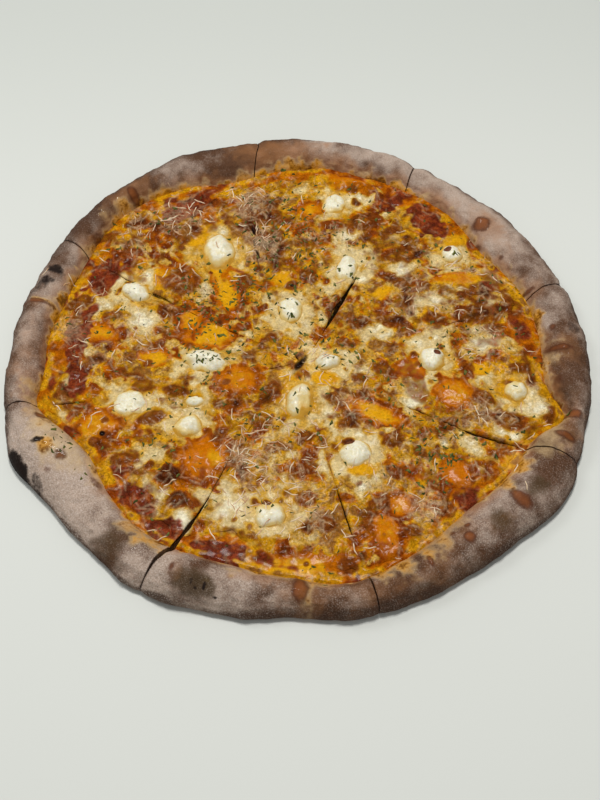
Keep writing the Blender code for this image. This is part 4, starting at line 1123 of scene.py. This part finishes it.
grated = {"number": 520, "elsewhere": 0.14, "patches": 121, "lengths": (2.0, 8.0), "width": 0.5,
          "height": 0.4, "seed": 21, "bars": 10, "bends": (0.03, -0.1, 0.18, -0.28, 0.42)}
herb = {"number": 1120, "elsewhere": 0.28, "patches": 131, "lengths": (0.8, 4.2), "height": 0.3,
        "seed": 33, "corners": 9, "stretches": (0.3, 0.42, 0.55, 0.36, 0.7, 0.25)}
# clusters as x, y, half size, weight
clusters = {
    "grated": [
        (-68, 98, 14, 3.0), (-28, 106, 12, 3.0), (-22, 75, 9, 3.0), (-10, -68, 24, 2.4),
        (65, -97, 8, 2.0), (115, -72, 6, 1.6), (5, -4, 8, 3.0), (-125, 14, 7, 1.6), (-30, -66, 9, 1.8),
        (50, -85, 14, 1.4), (100, -40, 12, 1.4), (20, 78, 14, 1.2), (-95, 96, 12, 1.2),
        (-20, -90, 16, 1.4), (95, 58, 10, 1.2), (70, 40, 12, 0.9), (-85, 10, 14, 0.8), (30, -30, 16, 1.0),
        (105, 0, 12, 0.8), (5, -100, 10, 1.4)],
    "herb": [
        (-45, 22, 22, 4.0), (-20, 40, 18, 2.6), (0, 92, 20, 2.4), (10, 70, 18, 2.0), (75, -62, 16, 4.0),
        (-75, -62, 9, 2.0), (-50, -8, 10, 3.0), (-119, -63, 11, 1.6), (20, 8, 16, 1.6), (30, 58, 8, 1.6),
        (-60, -34, 10, 1.8), (-95, -30, 10, 1.0), (90, 10, 14, 1.0), (45, -30, 14, 1.0),
        (-30, 108, 10, 1.4), (78, 62, 12, 0.9), (20, -132, 14, 0.8), (-85, 80, 14, 0.8),
        (-110, 20, 12, 0.6), (-15, -45, 16, 1.0)],
}
# where they fall on the crust too, as x, y, half size
spills = {"grated": [(114, -80, 8), (-139, 50, 5)], "herb": [(-121, -61, 10), (-111, -78, 6)]}


def scatterDensity(kind, settings, x, y):
    weight = np.full_like(x, settings["elsewhere"])
    for cx, cy, size, strength in clusters[kind]:
        weight += strength * np.exp(-((x - cx) ** 2 + (y - cy) ** 2) / size ** 2)
    inside = smooth(innerAt(angleOf(x, y)) - np.hypot(x, y), -2.5, 3.0)
    for cx, cy, size in spills[kind]:
        inside = np.maximum(inside, np.exp(-((x - cx) ** 2 + (y - cy) ** 2) / size ** 2))
    lumpy = smooth(layeredNoise(x, y, 8, settings["patches"]), -0.6, 0.6)
    return weight * inside * (0.35 + 1.1 * lumpy)


def scatterBed(kind, settings):
    # a flat square whose density attribute says where the pieces fall
    step, half = 3.0, 150.0
    line = np.arange(-half, half + step, step)
    x, y = np.meshgrid(line, line, indexing="ij")
    places = np.stack([x, y, np.zeros_like(x)], -1).reshape(-1, 3)
    masks = {"density": scatterDensity(kind, settings, places[:, 0], places[:, 1])}
    faces = gridFaces(len(line), len(line))[:, ::-1]
    bed = newPiece(kind + "Bed", places, faces, masks, bpy.data.materials.new(kind + "Bed"))
    return bed, float(masks["density"].mean()) * (2 * half * mm) ** 2


def smallForm(name, places, faces, material):
    mesh = bpy.data.meshes.new(name)
    mesh.from_pydata(places, [], faces)
    mesh.materials.append(material)
    return bpy.data.objects.new(name, mesh)


def sliver(name, bars, width, height, bend, material):
    # a curved four-sided strip one metre long, whose height is already true
    part = np.linspace(-0.5, 0.5, bars)
    taper = np.sqrt(np.clip(1 - (2 * part) ** 4, 0.05, 1))
    places = []
    for t, w in zip(part, taper):
        y = bend * (0.25 - t * t) + 0.02 * math.sin(9 * t + 9 * bend)
        half = 0.5 * width * w
        low, high = -0.35 * height, 0.65 * height * w
        places += [(t, y - half, low), (t, y - 0.7 * half, high)]
        places += [(t, y + 0.7 * half, high), (t, y + half, low)]
    faces = []
    for bar in range(bars - 1):
        a = 4 * bar
        faces += [(a + k, a + 4 + k, a + 4 + (k + 1) % 4, a + (k + 1) % 4) for k in range(4)]
    faces += [(0, 1, 2, 3), tuple(4 * bars - k for k in (1, 2, 3, 4))]
    return smallForm(name, places, [face[::-1] for face in faces], material)


def flake(name, corners, stretch, height, seed, material):
    # a thin ragged bit one metre long, whose height is already true
    draw = random.Random(seed)
    rings = [[], []]
    for corner in range(corners):
        turn, out = 2 * math.pi * corner / corners, draw.uniform(0.28, 0.55)
        x, y = out * math.cos(turn), stretch * out * math.sin(turn) + 0.12 * math.cos(2 * turn) * stretch
        rings[0].append((x, y, -0.4 * height))
        rings[1].append((0.86 * x, 0.8 * y, height * draw.uniform(0.4, 1.1)))
    faces = [tuple(range(corners))[::-1], tuple(range(corners, 2 * corners))]
    faces += [(k, (k + 1) % corners, corners + (k + 1) % corners, corners + k) for k in range(corners)]
    return smallForm(name, rings[0] + rings[1], faces, material)


def scatterTree(name, material, inputs):
    tree = bpy.data.node_groups.new(name, "GeometryNodeTree")
    interface = tree.interface
    interface.new_socket("Geometry", in_out="INPUT", socket_type="NodeSocketGeometry")
    sockets = {}
    for label, (kind, value) in inputs.items():
        socket = interface.new_socket(label, in_out="INPUT", socket_type="NodeSocket" + kind)
        if value is not None:
            socket.default_value = value
        sockets[label] = socket.identifier
    interface.new_socket("Geometry", in_out="OUTPUT", socket_type="NodeSocketGeometry")
    Socket.tree = tree
    node, links = Socket.node, tree.links
    given = node("NodeGroupInput").outputs
    density = node("GeometryNodeInputNamedAttribute", {"data_type": "FLOAT"}, Name="density")
    thick = node("ShaderNodeMath", {"operation": "MULTIPLY"}, i0=density.outputs["Attribute"],
                 i1=given["Density"]).outputs[0]
    points = node("GeometryNodeDistributePointsOnFaces", {"distribute_method": "RANDOM"},
                  Mesh=given["Geometry"], Density=thick, Seed=given["Seed"])
    turn = node("FunctionNodeRandomValue", {"data_type": "FLOAT"}, Seed=given["Seed"], i3=2 * math.pi)
    rotation = node("ShaderNodeCombineXYZ", Z=turn.outputs[1])
    pick = node("FunctionNodeRandomValue", {"data_type": "FLOAT"}, i2=given["Shortest"],
                i3=given["Longest"], Seed=7)
    scale = node("ShaderNodeCombineXYZ", X=pick.outputs[1], Y=pick.outputs[1], Z=1.0)
    kinds = node("GeometryNodeCollectionInfo", {"transform_space": "ORIGINAL"}, Collection=given["Shapes"],
                 Separate_Children=True, Reset_Children=True)
    placed = node("GeometryNodeInstanceOnPoints", Points=points.outputs["Points"], Pick_Instance=True,
                  Instance=kinds.outputs[0], Rotation=rotation.outputs[0], Scale=scale.outputs[0])
    real = node("GeometryNodeRealizeInstances", Geometry=placed.outputs[0])
    # drop each corner onto the topping below it, and keep its own height above that
    place = node("GeometryNodeInputPosition").outputs[0]
    parts = node("ShaderNodeSeparateXYZ", Vector=place).outputs
    above = node("ShaderNodeCombineXYZ", X=parts[0], Y=parts[1], Z=0.1)
    target = node("GeometryNodeObjectInfo", {"transform_space": "ORIGINAL"}, Object=given["Surface"])
    ray = node("GeometryNodeRaycast", Target_Geometry=target.outputs["Geometry"],
               Source_Position=above.outputs[0], Ray_Direction=(0, 0, -1), Ray_Length=0.2)
    hit = node("ShaderNodeSeparateXYZ", Vector=ray.outputs["Hit Position"]).outputs
    level = node("ShaderNodeMath", {"operation": "ADD"}, i0=hit[2], i1=parts[2])
    landed = node("ShaderNodeCombineXYZ", X=parts[0], Y=parts[1], Z=level.outputs[0])
    moved = node("GeometryNodeSetPosition", Geometry=real.outputs[0], Position=landed.outputs[0])
    coloured = node("GeometryNodeSetMaterial", Geometry=moved.outputs[0], Material=material)
    links.new(coloured.outputs[0], node("NodeGroupOutput").inputs[0])
    return tree, sockets


def scatterPiece(name, kind, settings, forms, surface, material):
    bed, weight = scatterBed(kind, settings)
    shapes = bpy.data.collections.new(name + "Shapes")
    for shape in forms:
        shapes.objects.link(shape)
    tree, sockets = scatterTree(name + "Tree", material, {
        "Density": ("Float", 1.0), "Seed": ("Int", settings["seed"]), "Shortest": ("Float", 0.001),
        "Longest": ("Float", 0.002), "Shapes": ("Collection", None), "Surface": ("Object", None)})
    modifier = bed.modifiers.new(name, "NODES")
    modifier.node_group = tree
    given = {"Density": settings["number"] / draftCoarseness / weight, "Seed": settings["seed"],
             "Shortest": settings["lengths"][0] * mm, "Longest": settings["lengths"][1] * mm,
             "Shapes": shapes, "Surface": surface}
    for label, value in given.items():
        modifier[sockets[label]] = value
    bpy.context.view_layer.update()
    evaluated = bed.evaluated_get(bpy.context.evaluated_depsgraph_get())
    mesh = bpy.data.meshes.new_from_object(evaluated)
    mesh.name = name
    piece = bpy.data.objects.new(name, mesh)
    bpy.context.scene.collection.objects.link(piece)
    for helper in (bed, *forms):
        bpy.data.objects.remove(helper, do_unlink=True)
    bpy.data.collections.remove(shapes)
    if "density" in mesh.attributes:
        mesh.attributes.remove(mesh.attributes["density"])
    mesh.polygons.foreach_set("use_smooth", np.ones(len(mesh.polygons), bool))
    print(name, len(mesh.polygons), "faces")
    return piece


def joinedCopy(pieces):
    # one mesh of all that a falling shred can land on
    places, faces, first = [], [], 0
    for piece in pieces:
        mesh = piece.data
        co = np.empty(len(mesh.vertices) * 3, np.float32)
        mesh.vertices.foreach_get("co", co)
        mesh.calc_loop_triangles()
        triangles = np.empty(len(mesh.loop_triangles) * 3, np.int32)
        mesh.loop_triangles.foreach_get("vertices", triangles)
        places.append(co.reshape(-1, 3))
        faces.append(triangles.reshape(-1, 3) + first)
        first += len(mesh.vertices)
    mesh = bpy.data.meshes.new("landing")
    faces = np.concatenate(faces)
    fillMesh(mesh, np.concatenate(places), np.full(len(faces), 3), faces.ravel())
    landing = bpy.data.objects.new("landing", mesh)
    bpy.context.scene.collection.objects.link(landing)
    return landing


# Floor, light and camera

stage = {
    "floorHalf": 12.0, "floorColour": srgb(216, 218, 212), "floorPaintedShade": srgb(198, 201, 195),
    "sky": (0.97, 0.99, 1.0), "skyStrength": 0.32,
    # name, place, size, power, colour
    "lamps": [("ceiling", (0.0, 0.3, 1.6), 0.4, 18.0, (1.0, 0.985, 0.96)),
              ("window", (-0.9, 0.5, 1.2), 0.5, 4.0, (0.96, 0.98, 1.0))],
    "cameraPlace": (0.22, -375.61, 552.57), "cameraTurn": (32.187, -0.083, -0.061), "lens": 54.0,
}


def buildStage():
    half = stage["floorHalf"]
    mesh = bpy.data.meshes.new("floor")
    corners = [(-half, -half, 0), (half, -half, 0), (half, half, 0), (-half, half, 0)]
    mesh.from_pydata(corners, [], [(0, 1, 2, 3)])
    floor = bpy.data.objects.new("floor", mesh)
    bpy.context.scene.collection.objects.link(floor)
    material, shader = newMaterial("paleTable", {"Roughness": 0.85, "Specular IOR Level": 0.1})
    # painted shade: the floor is a little darker towards the far side
    shade = awayness().between(0.02, 0.34)
    feed(shader, Base_Color=blend(shade, stage["floorColour"], stage["floorPaintedShade"]))
    mesh.materials.append(material)
    for name, place, size, strength, colour in stage["lamps"]:
        lamp = bpy.data.lights.new(name, "AREA")
        lamp.shape, lamp.size, lamp.energy, lamp.color = "DISK", size, strength, colour
        item = bpy.data.objects.new(name, lamp)
        item.location = place
        item.rotation_euler = (Vector((0, 0, 0)) - Vector(place)).to_track_quat("-Z", "Y").to_euler()
        bpy.context.scene.collection.objects.link(item)
    world = bpy.data.worlds.new("room")
    bpy.context.scene.world = world
    world.use_nodes = True
    background = world.node_tree.nodes["Background"]
    background.inputs[0].default_value = (*stage["sky"], 1.0)
    background.inputs[1].default_value = stage["skyStrength"]
    world.cycles_visibility.glossy = False
    camera = bpy.data.objects.new("camera", bpy.data.cameras.new("camera"))
    camera.data.lens = stage["lens"]
    camera.data.sensor_fit = "VERTICAL"
    camera.data.sensor_height = 36.0
    camera.data.clip_start = 0.01
    x, y, z = stage["cameraPlace"]
    camera.location = ((x - middle[0]) * mm, (y - middle[1]) * mm, z * mm)
    camera.rotation_euler = tuple(math.radians(turn) for turn in stage["cameraTurn"])
    bpy.context.scene.collection.objects.link(camera)
    bpy.context.scene.camera = camera
    bpy.context.scene.view_settings.view_transform = "Standard"


def dress(piece, slot, *nodes):
    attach(piece, "root")
    if nodes:
        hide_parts(*nodes)


canvas = makeCanvas()
paintCrust(canvas)
canvas.add("mark")
for spot in dollop["marks"]:
    canvas.blob("mark", *spot, ragged=0.4)
print("canvas painted")

buildStage()
crustSkin, meltedSkin, whiteSkin = crustMaterial(), meltedMaterial(), whiteMaterial()
bottom = []
for wedge in range(8):
    dough = buildDough(wedge, canvas, crustSkin)
    sauceLayer = buildSauce(wedge, canvas, meltedSkin)
    cheese = buildMelted(wedge, canvas, meltedSkin)
    dress(dough, "crust", f"dough_{wedge + 1}")
    dress(sauceLayer, "sauce", f"sauce_{wedge + 1}")
    dress(cheese, "melted_cheese", f"cheese_{wedge + 1}")
    bottom += [dough, sauceLayer, cheese]
print("slices built")
for number in range(len(dollop["lumps"])):
    lump = buildDollop(number, canvas, whiteSkin)
    dress(lump, "white_cheese", f"dollop_{number + 1:02d}")
    bottom.append(lump)
print("white lumps built")

landing = joinedCopy(bottom)
gratedSkin = plainMaterial("gratedCheese", srgb(230, 208, 178), srgb(190, 150, 112), 5, 0.5, 0.1, 0.1)
herbSkin = plainMaterial("driedHerb", srgb(106, 108, 50), srgb(52, 58, 24), 2.5, 0.75, 0.1)
narrow = 2 * grated["width"] / sum(grated["lengths"])
shredForms = [sliver(f"shred{number}", grated["bars"], narrow, grated["height"] * mm, bend, gratedSkin)
              for number, bend in enumerate(grated["bends"])]
flakeForms = [flake(f"flake{number}", herb["corners"], stretch, herb["height"] * mm, 60 + number, herbSkin)
              for number, stretch in enumerate(herb["stretches"])]
gratedPiece = scatterPiece("gratedShreds", "grated", grated, shredForms, landing, gratedSkin)
herbPiece = scatterPiece("herbFlakes", "herb", herb, flakeForms, landing, herbSkin)
bpy.data.objects.remove(landing, do_unlink=True)
dress(gratedPiece, "melted_cheese")
dress(herbPiece, "melted_cheese")
print("toppings scattered")
